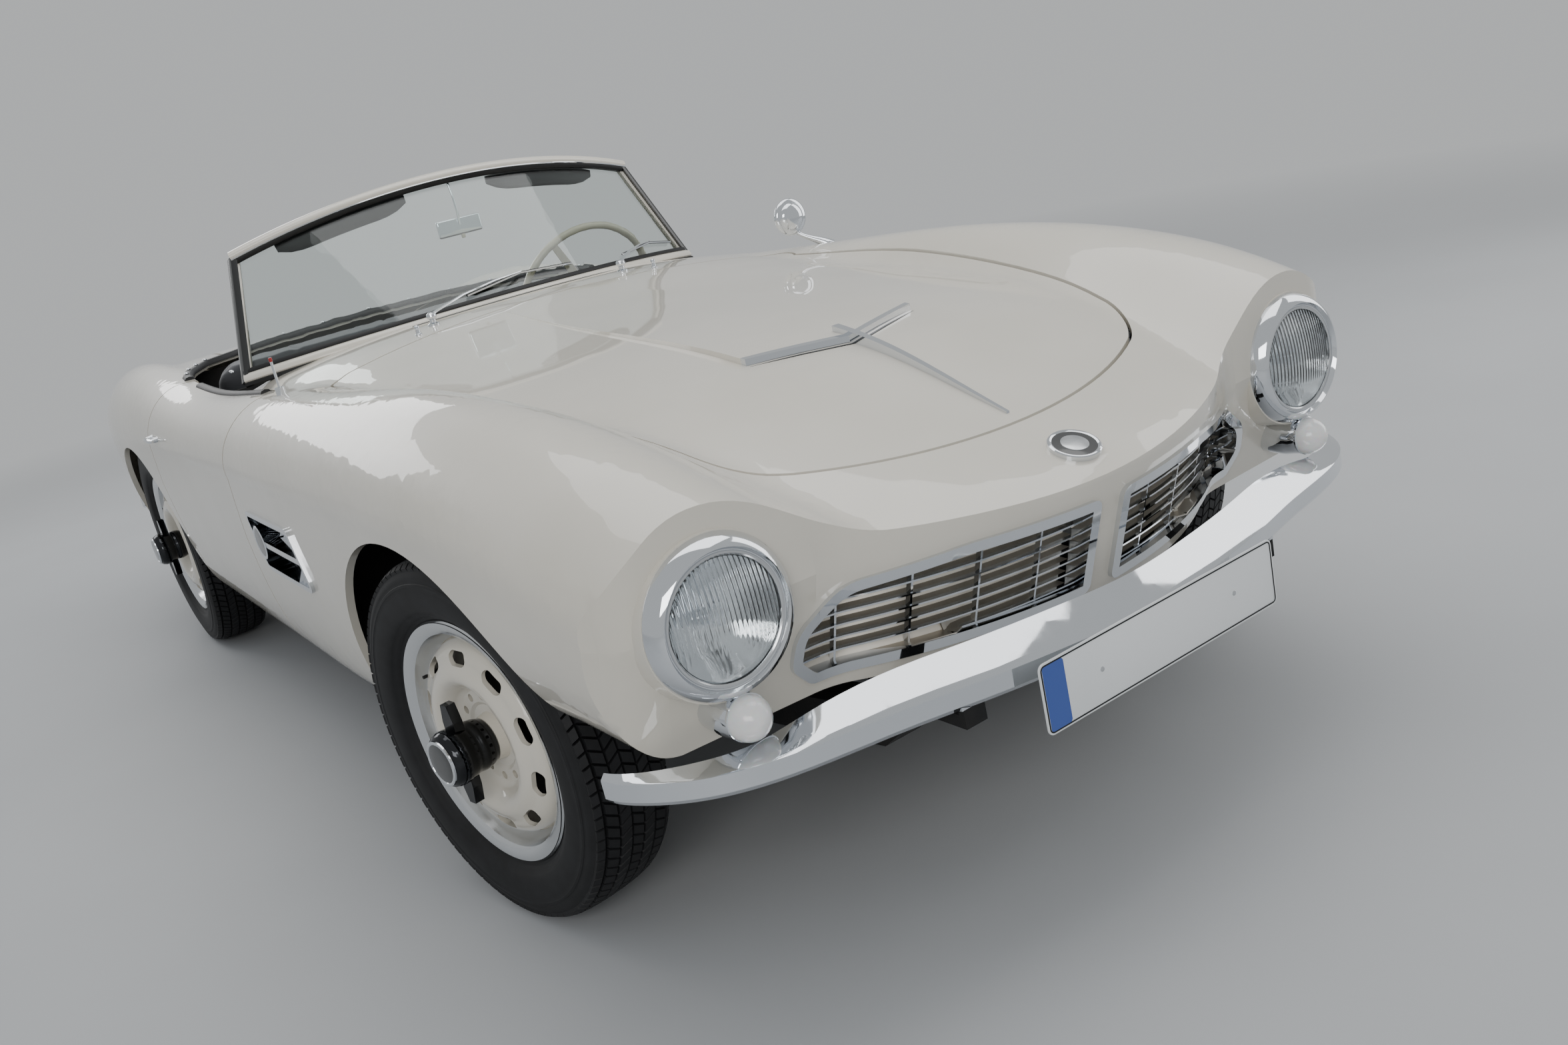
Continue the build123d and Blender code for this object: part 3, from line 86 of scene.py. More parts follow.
def make_camera():
    """A camera ahead of the right headlamp and above it, with its right side dipped."""
    data = bpy.data.cameras.new("camera")
    data.sensor_width = SENSOR_WIDTH
    data.lens = SENSOR_WIDTH * FOCAL_PX / FRAME_WIDTH
    camera = bpy.data.objects.new("camera", data)
    bpy.context.scene.collection.objects.link(camera)
    ahead = Vector((math.cos(CAMERA_PITCH) * math.sin(CAMERA_YAW),
                    math.cos(CAMERA_PITCH) * math.cos(CAMERA_YAW), math.sin(CAMERA_PITCH)))
    level = ahead.cross(UP).normalized()
    top = level.cross(ahead)
    right = math.cos(CAMERA_ROLL) * level + math.sin(CAMERA_ROLL) * top
    above = -math.sin(CAMERA_ROLL) * level + math.cos(CAMERA_ROLL) * top
    turn = Matrix((right, above, -ahead)).transposed().to_4x4()
    camera.matrix_world = Matrix.Translation(CAMERA_PLACE) @ turn
    bpy.context.scene.camera = camera


def area_light(name, place, target, size, watts):
    """A soft rectangular light at a place, turned to face a target."""
    data = bpy.data.lights.new(name, "AREA")
    data.shape = "RECTANGLE"
    data.size, data.size_y = size
    data.energy = watts
    lamp = bpy.data.objects.new(name, data)
    bpy.context.scene.collection.objects.link(lamp)
    aim = (Vector(target) - Vector(place)).to_track_quat("-Z", "Y")
    lamp.matrix_world = Matrix.Translation(place) @ aim.to_matrix().to_4x4()


def seen_directly(tree):
    """1 where the camera, a reflection or a pane of glass shows the surface itself."""
    path = add_node(tree, "LightPath")
    either = add_node(tree, "Math", {"operation": "MAXIMUM"},
                      {0: path.outputs["Is Camera Ray"], 1: path.outputs["Is Glossy Ray"]})
    return add_node(tree, "Math", {"operation": "MAXIMUM"},
                    {0: either.outputs["Value"], 1: path.outputs["Is Transmission Ray"]}).outputs["Value"]


def make_world():
    """An even pale studio: the walls show at one level and light the car softly."""
    world = bpy.data.worlds.new("studio")
    bpy.context.scene.world = world
    world.use_nodes = True
    tree = world.node_tree
    tree.nodes.clear()
    soft = add_node(tree, "Background", inputs={"Color": srgb(SOFT_LIGHT), "Strength": SOFT_LEVEL})
    wall = add_node(tree, "Background", inputs={"Color": srgb(BACKDROP), "Strength": 1.0})
    mix = add_node(tree, "MixShader", inputs={0: seen_directly(tree), 1: soft.outputs[0], 2: wall.outputs[0]})
    add_node(tree, "OutputWorld", inputs={"Surface": mix.outputs[0]})


def make_floor():
    """A pale painted floor that keeps the car's shadow and fades into the walls far off."""
    bm = bmesh.new()
    bmesh.ops.create_grid(bm, x_segments=1, y_segments=1, size=FLOOR_HALF)
    mesh = bpy.data.meshes.new("floor")
    bm.to_mesh(mesh)
    bm.free()
    floor = bpy.data.objects.new("floor", mesh)
    bpy.context.scene.collection.objects.link(floor)
    mat, tree, shader = new_material("pale_studio_floor", "B9BABA", 0.7)
    place = add_node(tree, "TexCoord").outputs["Object"]
    speckle = add_node(tree, "TexNoise", inputs={"Vector": place, "Scale": per(900), "Detail": 3.0})
    tone = add_node(tree, "ValToRGB", inputs={"Fac": speckle.outputs["Fac"]},
                    stops=[(0.35, srgb("B9BABA")), (0.65, srgb("B5B6B6"))])
    connect(tree, shader, {"Base Color": tone.outputs["Color"]})
    distance = add_node(tree, "VectorMath", {"operation": "LENGTH"}, {0: place})
    share_out = add_node(tree, "Math", {"operation": "DIVIDE"}, {0: distance.outputs["Value"], 1: FADE_REACH})
    far = add_node(tree, "ValToRGB", inputs={"Fac": share_out.outputs["Value"]},
                   stops=[(0.24, (0, 0, 0, 1)), (0.66, (1, 1, 1, 1))])
    seen = seen_directly(tree)
    glow = add_node(tree, "Emission", inputs={"Color": srgb(BACKDROP), "Strength": 1.0})
    share = add_node(tree, "Math", {"operation": "MULTIPLY"}, {0: far.outputs["Color"], 1: seen})
    mix = add_node(tree, "MixShader", inputs={0: share.outputs["Value"], 1: shader.outputs[0],
                                              2: glow.outputs[0]})
    connect(tree, tree.nodes["Material Output"], {"Surface": mix.outputs[0]})
    floor.data.materials.append(mat)


# ---------------------------------------------------------------- materials
def srgb(code):
    """A colour from its sRGB hex code, made linear."""
    def linear(c):
        return c / 12.92 if c <= 0.04045 else ((c + 0.055) / 1.055) ** 2.4
    return tuple(linear(int(code[i:i + 2], 16) / 255) for i in (0, 2, 4)) + (1.0,)


def per(millimetres):
    """The scale at which a texture's pattern repeats in so many millimetres."""
    return 1 / (millimetres * MM)


def connect(tree, node, inputs):
    """Fills a node's inputs, or links them where the value is another node's output."""
    for name, value in inputs.items():
        if isinstance(value, bpy.types.NodeSocket):
            tree.links.new(value, node.inputs[name])
        else:
            node.inputs[name].default_value = value


def add_node(tree, kind, settings=None, inputs=None, stops=()):
    """Adds one node with its settings, its inputs and, on a ramp, its stops."""
    node = tree.nodes.new("ShaderNode" + kind)
    for name, value in (settings or {}).items():
        setattr(node, name, value)
    for i, (position, colour) in enumerate(stops):
        stop = node.color_ramp.elements[i] if i < 2 else node.color_ramp.elements.new(position)
        stop.position = position
        stop.color = colour
    connect(tree, node, inputs or {})
    return node


def new_material(name, colour, roughness, metallic=0.0, **sockets):
    """A material with its base finish set, its node tree, and its shader."""
    mat = bpy.data.materials.new(name)
    mat.use_nodes = True
    shader = mat.node_tree.nodes["Principled BSDF"]
    connect(mat.node_tree, shader, {"Base Color": srgb(colour), "Roughness": roughness, "Metallic": metallic})
    connect(mat.node_tree, shader, {key.replace("_", " "): value for key, value in sockets.items()})
    return mat, mat.node_tree, shader


# A wave texture's bands repeat every 0.314 of a unit at scale 1.
WAVE_TURN = math.pi / 10


def enamelled(name, colour, drift):
    """Sprayed and baked enamel, polished: an even warm white under a deep gloss, with faint orange peel."""
    mat, tree, shader = new_material(name, colour, 0.36, Coat_Weight=1.0, Coat_Roughness=0.025, Coat_IOR=1.5)
    place = add_node(tree, "TexCoord").outputs["Object"]
    slow = add_node(tree, "TexNoise", inputs={"Vector": place, "Scale": per(260), "Detail": 2.0})
    tone = add_node(tree, "ValToRGB", inputs={"Fac": slow.outputs["Fac"]},
                    stops=[(0.35, srgb(colour)), (0.65, srgb(drift))])
    peel = add_node(tree, "TexNoise", inputs={"Vector": place, "Scale": per(4.5), "Detail": 2.0})
    skin = add_node(tree, "Bump", inputs={"Height": peel.outputs["Fac"], "Distance": 0.02 * MM,
                                          "Strength": 0.2})
    connect(tree, shader, {"Base Color": tone.outputs["Color"], "Normal": skin.outputs["Normal"]})
    return mat


def plated(name, colour, low, high):
    """Plated or spun metal, buffed: a clean mirror with soft handling marks."""
    mat, tree, shader = new_material(name, colour, low, 1.0)
    place = add_node(tree, "TexCoord").outputs["Object"]
    marks = add_node(tree, "TexNoise", inputs={"Vector": place, "Scale": per(24), "Detail": 6.0})
    gloss = add_node(tree, "ValToRGB", inputs={"Fac": marks.outputs["Fac"]},
                     stops=[(0.35, (low, low, low, 1)), (0.65, (high, high, high, 1))])
    connect(tree, shader, {"Roughness": gloss.outputs["Color"]})
    return mat


def stoved_black():
    """Stoved black enamel on pressed steel: deep, with a slightly soft reflection."""
    mat, tree, shader = new_material("stoved_black_enamel", "08090A", 0.3, Coat_Weight=0.8,
                                     Coat_Roughness=0.06)
    place = add_node(tree, "TexCoord").outputs["Object"]
    peel = add_node(tree, "TexNoise", inputs={"Vector": place, "Scale": per(3), "Detail": 2.0})
    skin = add_node(tree, "Bump", inputs={"Height": peel.outputs["Fac"], "Distance": 0.02 * MM,
                                          "Strength": 0.25})
    connect(tree, shader, {"Normal": skin.outputs["Normal"]})
    return mat


def underseal():
    """Brushed-on bitumen underseal: matt near-black with a lumpy skin."""
    mat, tree, shader = new_material("brushed_underseal", "131415", 0.85)
    place = add_node(tree, "TexCoord").outputs["Object"]
    dust = add_node(tree, "TexNoise", inputs={"Vector": place, "Scale": per(60), "Detail": 3.0})
    tone = add_node(tree, "ValToRGB", inputs={"Fac": dust.outputs["Fac"]},
                    stops=[(0.35, srgb("121314")), (0.7, srgb("1F1D1B"))])
    lumps = add_node(tree, "TexNoise", inputs={"Vector": place, "Scale": per(5), "Detail": 5.0})
    skin = add_node(tree, "Bump", inputs={"Height": lumps.outputs["Fac"], "Distance": 0.8 * MM,
                                          "Strength": 0.7})
    connect(tree, shader, {"Base Color": tone.outputs["Color"], "Normal": skin.outputs["Normal"]})
    return mat


def cast_iron():
    """Sand-cast iron, unpainted: dark grey with a gritty skin and brown patches."""
    mat, tree, shader = new_material("sand_cast_iron", "3B3C3D", 0.6, 0.85)
    place = add_node(tree, "TexCoord").outputs["Object"]
    rust = add_node(tree, "TexNoise", inputs={"Vector": place, "Scale": per(35), "Detail": 4.0})
    tone = add_node(tree, "ValToRGB", inputs={"Fac": rust.outputs["Fac"]},
                    stops=[(0.4, srgb("3B3C3D")), (0.75, srgb("2D2A27"))])
    grit = add_node(tree, "TexNoise", inputs={"Vector": place, "Scale": per(1.6), "Detail": 5.0})
    skin = add_node(tree, "Bump", inputs={"Height": grit.outputs["Fac"], "Distance": 0.4 * MM,
                                          "Strength": 0.6})
    connect(tree, shader, {"Base Color": tone.outputs["Color"], "Normal": skin.outputs["Normal"]})
    return mat


def safety_glass():
    """Laminated float glass: clear, faintly green at its edge."""
    return new_material("laminated_glass", "EEF5F3", 0.0, Transmission_Weight=1.0, IOR=1.45)[0]


FLUTE_PITCH = 7.5 * MM      # upright flutes pressed into the lamp glass
FLUTE_FOOT_Z = 0.600        # the flutes fade out below this height


def fluted_glass():
    """Pressed lamp glass: clear, with upright flutes over its upper part that stretch the lights behind."""
    mat, tree, shader = new_material("pressed_lamp_glass", "F7FAFB", 0.0, Transmission_Weight=1.0, IOR=1.5)
    place = add_node(tree, "TexCoord").outputs["Object"]
    flutes = add_node(tree, "TexWave", {"bands_direction": "X"},
                      {"Vector": place, "Scale": WAVE_TURN / FLUTE_PITCH, "Distortion": 0.0})
    split = add_node(tree, "SeparateXYZ", inputs={"Vector": place})
    above = add_node(tree, "MapRange", inputs={"Value": split.outputs["Z"], "From Min": FLUTE_FOOT_Z - 0.02,
                                               "From Max": FLUTE_FOOT_Z + 0.02})
    height = add_node(tree, "Math", {"operation": "MULTIPLY"},
                      {0: flutes.outputs["Fac"], 1: above.outputs["Result"]})
    skin = add_node(tree, "Bump", inputs={"Height": height.outputs["Value"], "Distance": 1.2 * MM,
                                          "Strength": 0.9})
    connect(tree, shader, {"Normal": skin.outputs["Normal"]})
    return mat


def opal_plastic():
    """Opal moulded plastic: milky white that glows a little through its thickness."""
    mat, tree, shader = new_material("opal_plastic", "F0EFEC", 0.22, Coat_Weight=0.7, Coat_Roughness=0.05,
                                     Subsurface_Weight=0.35, Subsurface_Scale=0.01)
    place = add_node(tree, "TexCoord").outputs["Object"]
    cloud = add_node(tree, "TexNoise", inputs={"Vector": place, "Scale": per(40), "Detail": 2.0})
    tone = add_node(tree, "ValToRGB", inputs={"Fac": cloud.outputs["Fac"]},
                    stops=[(0.35, srgb("F0EFEC")), (0.65, srgb("E6E5E2"))])
    connect(tree, shader, {"Base Color": tone.outputs["Color"]})
    return mat


def ruby_glass():
    """Pressed ruby glass over a reflector: deep red with a fine prism pattern."""
    mat, tree, shader = new_material("ruby_glass", "A5120E", 0.08, Transmission_Weight=0.55, IOR=1.5,
                                     Coat_Weight=0.6)
    place = add_node(tree, "TexCoord").outputs["Object"]
    prisms = add_node(tree, "TexVoronoi", {"feature": "F1"}, {"Vector": place, "Scale": per(6),
                                                             "Randomness": 0.0})
    skin = add_node(tree, "Bump", inputs={"Height": prisms.outputs["Distance"], "Distance": 1.0 * MM,
                                          "Strength": 0.6})
    connect(tree, shader, {"Normal": skin.outputs["Normal"]})
    return mat


def moulded_rubber(name, colour, drift, roughness):
    """Moulded rubber: matt black with a fine bloom and a dusty grain."""
    mat, tree, shader = new_material(name, colour, roughness, Specular_IOR_Level=0.4)
    place = add_node(tree, "TexCoord").outputs["Object"]
    bloom = add_node(tree, "TexNoise", inputs={"Vector": place, "Scale": per(30), "Detail": 3.0})
    tone = add_node(tree, "ValToRGB", inputs={"Fac": bloom.outputs["Fac"]},
                    stops=[(0.35, srgb(colour)), (0.7, srgb(drift))])
    grain = add_node(tree, "TexNoise", inputs={"Vector": place, "Scale": per(0.8), "Detail": 4.0})
    skin = add_node(tree, "Bump", inputs={"Height": grain.outputs["Fac"], "Distance": 0.06 * MM,
                                          "Strength": 0.35})
    connect(tree, shader, {"Base Color": tone.outputs["Color"], "Normal": skin.outputs["Normal"]})
    return mat


def grained_hide(name, colour, drift, grain_mm=2.2):
    """Grained upholstery hide, dyed through: soft sheen over a net of creases, paler where it is rubbed."""
    mat, tree, shader = new_material(name, colour, 0.46, Specular_IOR_Level=0.45)
    place = add_node(tree, "TexCoord").outputs["Object"]
    wear = add_node(tree, "TexNoise", inputs={"Vector": place, "Scale": per(70), "Detail": 4.0})
    tone = add_node(tree, "ValToRGB", inputs={"Fac": wear.outputs["Fac"]},
                    stops=[(0.35, srgb(colour)), (0.7, srgb(drift))])
    cells = add_node(tree, "TexVoronoi", {"feature": "DISTANCE_TO_EDGE"},
                     {"Vector": place, "Scale": per(grain_mm)})
    crease = add_node(tree, "ValToRGB", inputs={"Fac": cells.outputs["Distance"]},
                      stops=[(0.0, (0, 0, 0, 1)), (0.28, (1, 1, 1, 1))])
    skin = add_node(tree, "Bump", inputs={"Height": crease.outputs["Color"], "Distance": 0.18 * MM,
                                          "Strength": 0.6})
    connect(tree, shader, {"Base Color": tone.outputs["Color"], "Normal": skin.outputs["Normal"]})
    return mat


THREAD_PITCH = 2.4 * MM     # hood cloth threads, drawn three times as coarse as they are so that they show


def hood_canvas():
    """Double-texture hood cloth: matt black plain weave with a dusty nap."""
    mat, tree, shader = new_material("woven_hood_cloth", "15161A", 0.85, Sheen_Weight=0.35,
                                     Sheen_Roughness=0.5)
    place = add_node(tree, "TexCoord").outputs["Object"]
    fade = add_node(tree, "TexNoise", inputs={"Vector": place, "Scale": per(90), "Detail": 3.0})
    tone = add_node(tree, "ValToRGB", inputs={"Fac": fade.outputs["Fac"]},
                    stops=[(0.35, srgb("15161A")), (0.7, srgb("1E2025"))])
    across, along = (add_node(tree, "TexWave", {"bands_direction": axis},
                              {"Vector": place, "Scale": WAVE_TURN / THREAD_PITCH, "Distortion": 0.3})
                     for axis in ("X", "Y"))
    weave = add_node(tree, "Math", {"operation": "MAXIMUM"},
                     {0: across.outputs["Fac"], 1: along.outputs["Fac"]})
    skin = add_node(tree, "Bump", inputs={"Height": weave.outputs["Value"], "Distance": 0.25 * MM,
                                          "Strength": 0.5})
    connect(tree, shader, {"Base Color": tone.outputs["Color"], "Normal": skin.outputs["Normal"]})
    return mat


def loop_carpet():
    """Tufted loop carpet: black, rough, with a soft edge of light, and painted shade in the gaps between its
    tufts.
    """
    mat, tree, shader = new_material("tufted_loop_carpet", "111112", 0.95, Sheen_Weight=0.4)
    place = add_node(tree, "TexCoord").outputs["Object"]
    tufts = add_node(tree, "TexVoronoi", {"feature": "F1"}, {"Vector": place, "Scale": per(4)})
    # painted shade: lighter on each tuft's top, darker towards the gaps between tufts
    tone = add_node(tree, "ValToRGB", inputs={"Fac": tufts.outputs["Distance"]},
                    stops=[(0.1, srgb("1B1B1D")), (0.7, srgb("0B0B0C"))])
    skin = add_node(tree, "Bump", {"invert": True},
                    {"Height": tufts.outputs["Distance"], "Distance": 2.0 * MM, "Strength": 0.9})
    connect(tree, shader, {"Base Color": tone.outputs["Color"], "Normal": skin.outputs["Normal"]})
    return mat


def cast_plastic(name, colour, drift):
    """Moulded phenolic plastic, buffed: faintly clouded, with a waxy gloss."""
    mat, tree, shader = new_material(name, colour, 0.22, Coat_Weight=0.6, Coat_Roughness=0.06)
    place = add_node(tree, "TexCoord").outputs["Object"]
    cloud = add_node(tree, "TexNoise", inputs={"Vector": place, "Scale": per(50), "Detail": 3.0})
    tone = add_node(tree, "ValToRGB", inputs={"Fac": cloud.outputs["Fac"]},
                    stops=[(0.35, srgb(colour)), (0.65, srgb(drift))])
    connect(tree, shader, {"Base Color": tone.outputs["Color"]})
    return mat


def gauze_with_painted_hole_shade():
    """Black pressed gauze over an air intake: a grid of small holes, drawn as near-black spots in its colour, a
    painted shade for the dark seen through each hole.
    """
    mat, tree, shader = new_material("gauze_with_painted_hole_shade", "1A1B1C", 0.45, 0.6)
    place = add_node(tree, "TexCoord").outputs["Object"]
    hole_shade = add_node(tree, "TexVoronoi", {"feature": "F1"}, {"Vector": place, "Scale": per(5),
                                                            "Randomness": 0.0})
    # painted shade: near black at the middle of each hole, the metal's grey on the lands between
    tone = add_node(tree, "ValToRGB", inputs={"Fac": hole_shade.outputs["Distance"]},
                    stops=[(0.3, srgb("050505")), (0.45, srgb("4A4B4D"))])
    connect(tree, shader, {"Base Color": tone.outputs["Color"]})
    return mat


# what each finish is made of, and the slot of the part's record that it belongs to
FINISHES = {
    "paint": (enamelled("cream_body_enamel", "DCD6C9", "D7D1C3"), "paint"),
    "cream_wheel": (enamelled("cream_wheel_enamel", "DDD6C7", "D6CFBF"), "cream_wheel"),
    "chrome": (plated("polished_chrome_plate", "DFE2E6", 0.03, 0.08), "chrome"),
    "bright": (plated("buffed_aluminium", "D3D5D7", 0.12, 0.22), "chrome"),
    "satin": (plated("satin_anodised_aluminium", "D6D0C5", 0.36, 0.48), "chrome"),
    "silvering": (plated("silvered_reflector", "E9EBED", 0.05, 0.1), "chrome"),
    "exhaust_steel": (plated("exhaust_steel", "7C766D", 0.3, 0.5), "exhaust_steel"),
    "black_steel": (stoved_black(), "black_steel"),
    "knock_off": (plated("black_chrome_plate", "3A3B3D", 0.05, 0.12), "knock_off"),
    "underbody": (underseal(), "underbody"),
    "engine_iron": (cast_iron(), "engine_iron"),
    "glass": (safety_glass(), "glass"),
    "lens": (fluted_glass(), "lens"),
    "milk_lens": (opal_plastic(), "milk_lens"),
    "red_lens": (ruby_glass(), "red_lens"),
    "tyre": (moulded_rubber("tyre_rubber", "101011", "18181A", 0.6), "tyre"),
    "seal": (moulded_rubber("seal_rubber", "0A0A0B", "111112", 0.45), "black_trim"),
    "black_trim": (grained_hide("black_hide", "141415", "1D1D1F"), "black_trim"),
    "canvas": (hood_canvas(), "canvas"),
    "carpet": (loop_carpet(), "canvas"),
    "cream_plastic": (cast_plastic("ivory_phenolic", "DDD4BE", "D6CCB4"), "cream_plastic"),
    "red_plastic": (cast_plastic("red_phenolic", "A31515", "8F1111"), "red_lens"),
    "plate_white": (enamelled("white_plate_enamel", "ECEDEC", "E7E9E8"), "plate_white"),
    "plate_blue": (enamelled("blue_plate_enamel", "1F4FA8", "1D4BA2"), "plate_white"),
    "gauze": (gauze_with_painted_hole_shade(), "underbody"),
}


# ---------------------------------------------------------------- ways of making a piece
def axis_frame(place, along, up=UP):
    """A matrix whose X runs along a direction, with Z as near up as it can be."""
    x = Vector(along).normalized()
    y = Vector(up).cross(x).normalized()
    return Matrix.Translation(place) @ Matrix((x, y, x.cross(y))).transposed().to_4x4()


def path_frames(points, up=UP, closed=False):
    """Frames along a run: Y runs along it, Z stays near up, and X is across."""
    frames = []
    last = len(points) - 1
    for i, point in enumerate(points):
        before = points[i - 1] if closed or i else point
        after = points[(i + 1) % len(points)] if closed or i < last else point
        y = (after - before).normalized()
        x = y.cross(up).normalized()
        frames.append(Matrix.Translation(point) @ Matrix((x, y, x.cross(y))).transposed().to_4x4())
    return frames


def forward_frames(points):
    """Frames along a level run, with X pointing forward out of the car and Z up."""
    frames = []
    for place in path_frames(points, UP):
        across = place.to_3x3().col[0]
        if across.dot(FORWARD) < 0:
            place = place @ Matrix.Rotation(math.pi, 4, "Z")
        frames.append(place)
    return frames


def ring_profile(radius, count=12):
    """A circle's corner points, to sweep a rod from."""
    return [(radius * math.cos(math.tau * i / count), radius * math.sin(math.tau * i / count))
            for i in range(count)]


def swept(profile, frames, closed=False, sizes=None):
    """Draws a closed profile, millimetres across and up, along a run of frames."""
    bm = bmesh.new()
    corners = [bm.verts.new((x * MM, 0, z * MM)) for x, z in profile]
    first = [bm.edges.new(pair) for pair in zip(corners, corners[1:] + corners[:1])]
    steps = [step @ Matrix.Scale(size, 4) for step, size in zip(frames, sizes or [1] * len(frames))]
    bmesh.ops.transform(bm, matrix=steps[0], verts=corners)
    edges = first
    for before, after in zip(steps, steps[1:]):
        grown = bmesh.ops.extrude_edge_only(bm, edges=edges)["geom"]
        edges = [g for g in grown if isinstance(g, bmesh.types.BMEdge)]
        verts = [g for g in grown if isinstance(g, bmesh.types.BMVert)]
        bmesh.ops.transform(bm, matrix=after @ before.inverted(), verts=verts)
    if closed:
        bmesh.ops.bridge_loops(bm, edges=first + edges)
    else:
        bmesh.ops.holes_fill(bm, edges=first + edges, sides=0)
    return bm


def turned(profile, place_frame, steps=64):
    """Turns a profile, millimetres along the frame's X and out from it, as on a lathe."""
    bm = bmesh.new()
    points = [bm.verts.new((a * MM, 0, r * MM)) for a, r in profile]
    edges = [bm.edges.new(pair) for pair in zip(points, points[1:] + points[:1])]
    bmesh.ops.spin(bm, geom=points + edges, cent=(0, 0, 0), axis=(1, 0, 0), angle=math.tau, steps=steps,
                   use_merge=True)
    bmesh.ops.remove_doubles(bm, verts=bm.verts, dist=0.01 * MM)
    bmesh.ops.transform(bm, matrix=place_frame, verts=bm.verts)
    return bm


def cut_plate(outline, depth, place_frame, edge=0.0, segments=2):
    """A flat outline in the frame's X and Y, given a thickness along its Z and rounded edges."""
    bm = bmesh.new()
    face = bm.faces.new([bm.verts.new((x * MM, y * MM, 0)) for x, y in outline])
    grown = bmesh.ops.extrude_face_region(bm, geom=[face])["geom"]
    raised = [g for g in grown if isinstance(g, bmesh.types.BMVert)]
    bmesh.ops.translate(bm, vec=(0, 0, depth * MM), verts=raised)
    if edge:
        bmesh.ops.bevel(bm, geom=list(bm.edges), offset=edge * MM, segments=segments, affect="EDGES",
                        profile=0.5, material=-1)
    bmesh.ops.transform(bm, matrix=place_frame, verts=bm.verts)
    return bm


def block(size, centre, edge=0.0, segments=2, turn=Matrix.Identity(4)):
    """A box, millimetres, with rounded edges."""
    bm = bmesh.new()
    bmesh.ops.create_cube(bm, size=MM)
    bmesh.ops.scale(bm, vec=size, verts=bm.verts)
    if edge:
        bmesh.ops.bevel(bm, geom=list(bm.edges), offset=edge * MM, segments=segments, affect="EDGES",
                        profile=0.5, material=-1)
    bmesh.ops.transform(bm, matrix=Matrix.Translation(at(*centre)) @ turn, verts=bm.verts)
    return bm


def joined(*parts):
    """Several meshes as one."""
    whole = parts[0]
    for part in parts[1:]:
        spare = bpy.data.meshes.new("spare")
        part.to_mesh(spare)
        part.free()
        whole.from_mesh(spare)
        bpy.data.meshes.remove(spare)
    return whole


def rounded_corners(width, height, radius, steps=5):
    """An upright rectangle's outline, centred, with round corners."""
    centres = [(width / 2 - radius, height / 2 - radius, 0), (radius - width / 2, height / 2 - radius, 90),
               (radius - width / 2, radius - height / 2, 180), (width / 2 - radius, radius - height / 2, 270)]
    points = []
    for x, y, start in centres:
        for i in range(steps + 1):
            a = math.radians(start + 90 * i / steps)
            points.append((x + radius * math.cos(a), y + radius * math.sin(a)))
    return points


def finish_piece(bm, name, finish, body="car", crease=34, replaces=()):
    """Makes a mesh a piece of the car, with its finish and its body, and hides the nodes that it stands for."""
    bmesh.ops.remove_doubles(bm, verts=bm.verts, dist=0.01 * MM)
    bmesh.ops.recalc_face_normals(bm, faces=bm.faces)
    mesh = bpy.data.meshes.new(name)
    bm.to_mesh(mesh)
    bm.free()
    mesh.shade_smooth()
    mesh.set_sharp_from_angle(angle=math.radians(crease))
    piece = bpy.data.objects.new(name, mesh)
    bpy.context.scene.collection.objects.link(piece)
    material, slot = FINISHES[finish]
    mesh.materials.append(material)
    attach(piece, body)
    if replaces:
        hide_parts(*replaces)
    return piece


def skin_tree():
    """The body panels' outer skin, to seat small pieces on."""
    bm = bmesh.new()
    for name in ("front_body", "rear_body", "hood", "boot_lid", "door_left", "door_right"):
        bm.from_mesh(NODES[name].data)
    tree = BVHTree.FromBMesh(bm)
    bm.free()
    return tree


SKIN = skin_tree()


def on_skin(x, y):
    """The place and outward direction of the skin straight below a point, from millimetres."""
    return SKIN.ray_cast(at(x, y, 1600), -UP)[:2]


def dress_nodes():
    """Every CAD piece that stays gets its finish, and smooth faces between its true edges."""
    slot_of = {part["node"]: part["material_slot"] for part in frame["record"]["subparts"]}
    for name, node in NODES.items():
        node.data.materials.clear()
        node.data.materials.append(FINISHES[slot_of[name]][0])
        weld = node.modifiers.new("weld", "WELD")
        weld.merge_threshold = 0.03 * MM
        split = node.modifiers.new("edges", "EDGE_SPLIT")
        split.split_angle = math.radians(32)
        weighted = node.modifiers.new("normals", "WEIGHTED_NORMAL")
        weighted.keep_sharp = True


# ---------------------------------------------------------------- wheels and tyres
WHEELS = ("front_left", "front_right", "rear_left", "rear_right")
# one side of a tyre from bead to shoulder: out from the wheel's middle, and radius
SIDEWALL = [(52, 207), (57, 222), (63, 229), (64.5, 232), (66.5, 233), (72, 238.5), (76, 245), (77, 245.6),
            (80, 253), (82, 263), (82.7, 275), (82.6, 286), (81.8, 293), (82.6, 294.5), (81.8, 298.5),
            (80.6, 299.5), (79.6, 304.5), (79.9, 306), (77.5, 312)]
# where the tread's ribs part: across, radius at the foot of its grooves, and how far the zigzag leads
RIBS = [(74, 318.5, 0.0), (60, 327.0, 0.3), (36, 330.2, -0.3), (12, 331.0, 0.3)]
TREAD_PITCHES, TREAD_DEPTH, GROOVE_HALF = 92, 6.0, 2.0
TREAD_CORNERS, TREAD_FACES = 318, 320       # the radii beyond which they belong to the tread
RIM_BAND = [(57.6, 225.2), (62.6, 225.9), (65.8, 222.3), (63.8, 211.9), (57.7, 201.5), (44.5, 197.3),
            (32.8, 191.2), (27.0, 184.8), (28.4, 184.2), (33.6, 190.0), (45.0, 195.6), (58.6, 199.6),
            (65.2, 211.0), (67.0, 222.6)]


def wheel_frame(name):
    """X out along the axle, from the wheel's middle."""
    joint = JOINTS["spin_" + name]
    axis = Vector(joint["axis"])
    if axis.x * (1 if name.endswith("left") else -1) < 0:
        axis = -axis
    return axis_frame(Vector(joint["pos_m"]), axis)


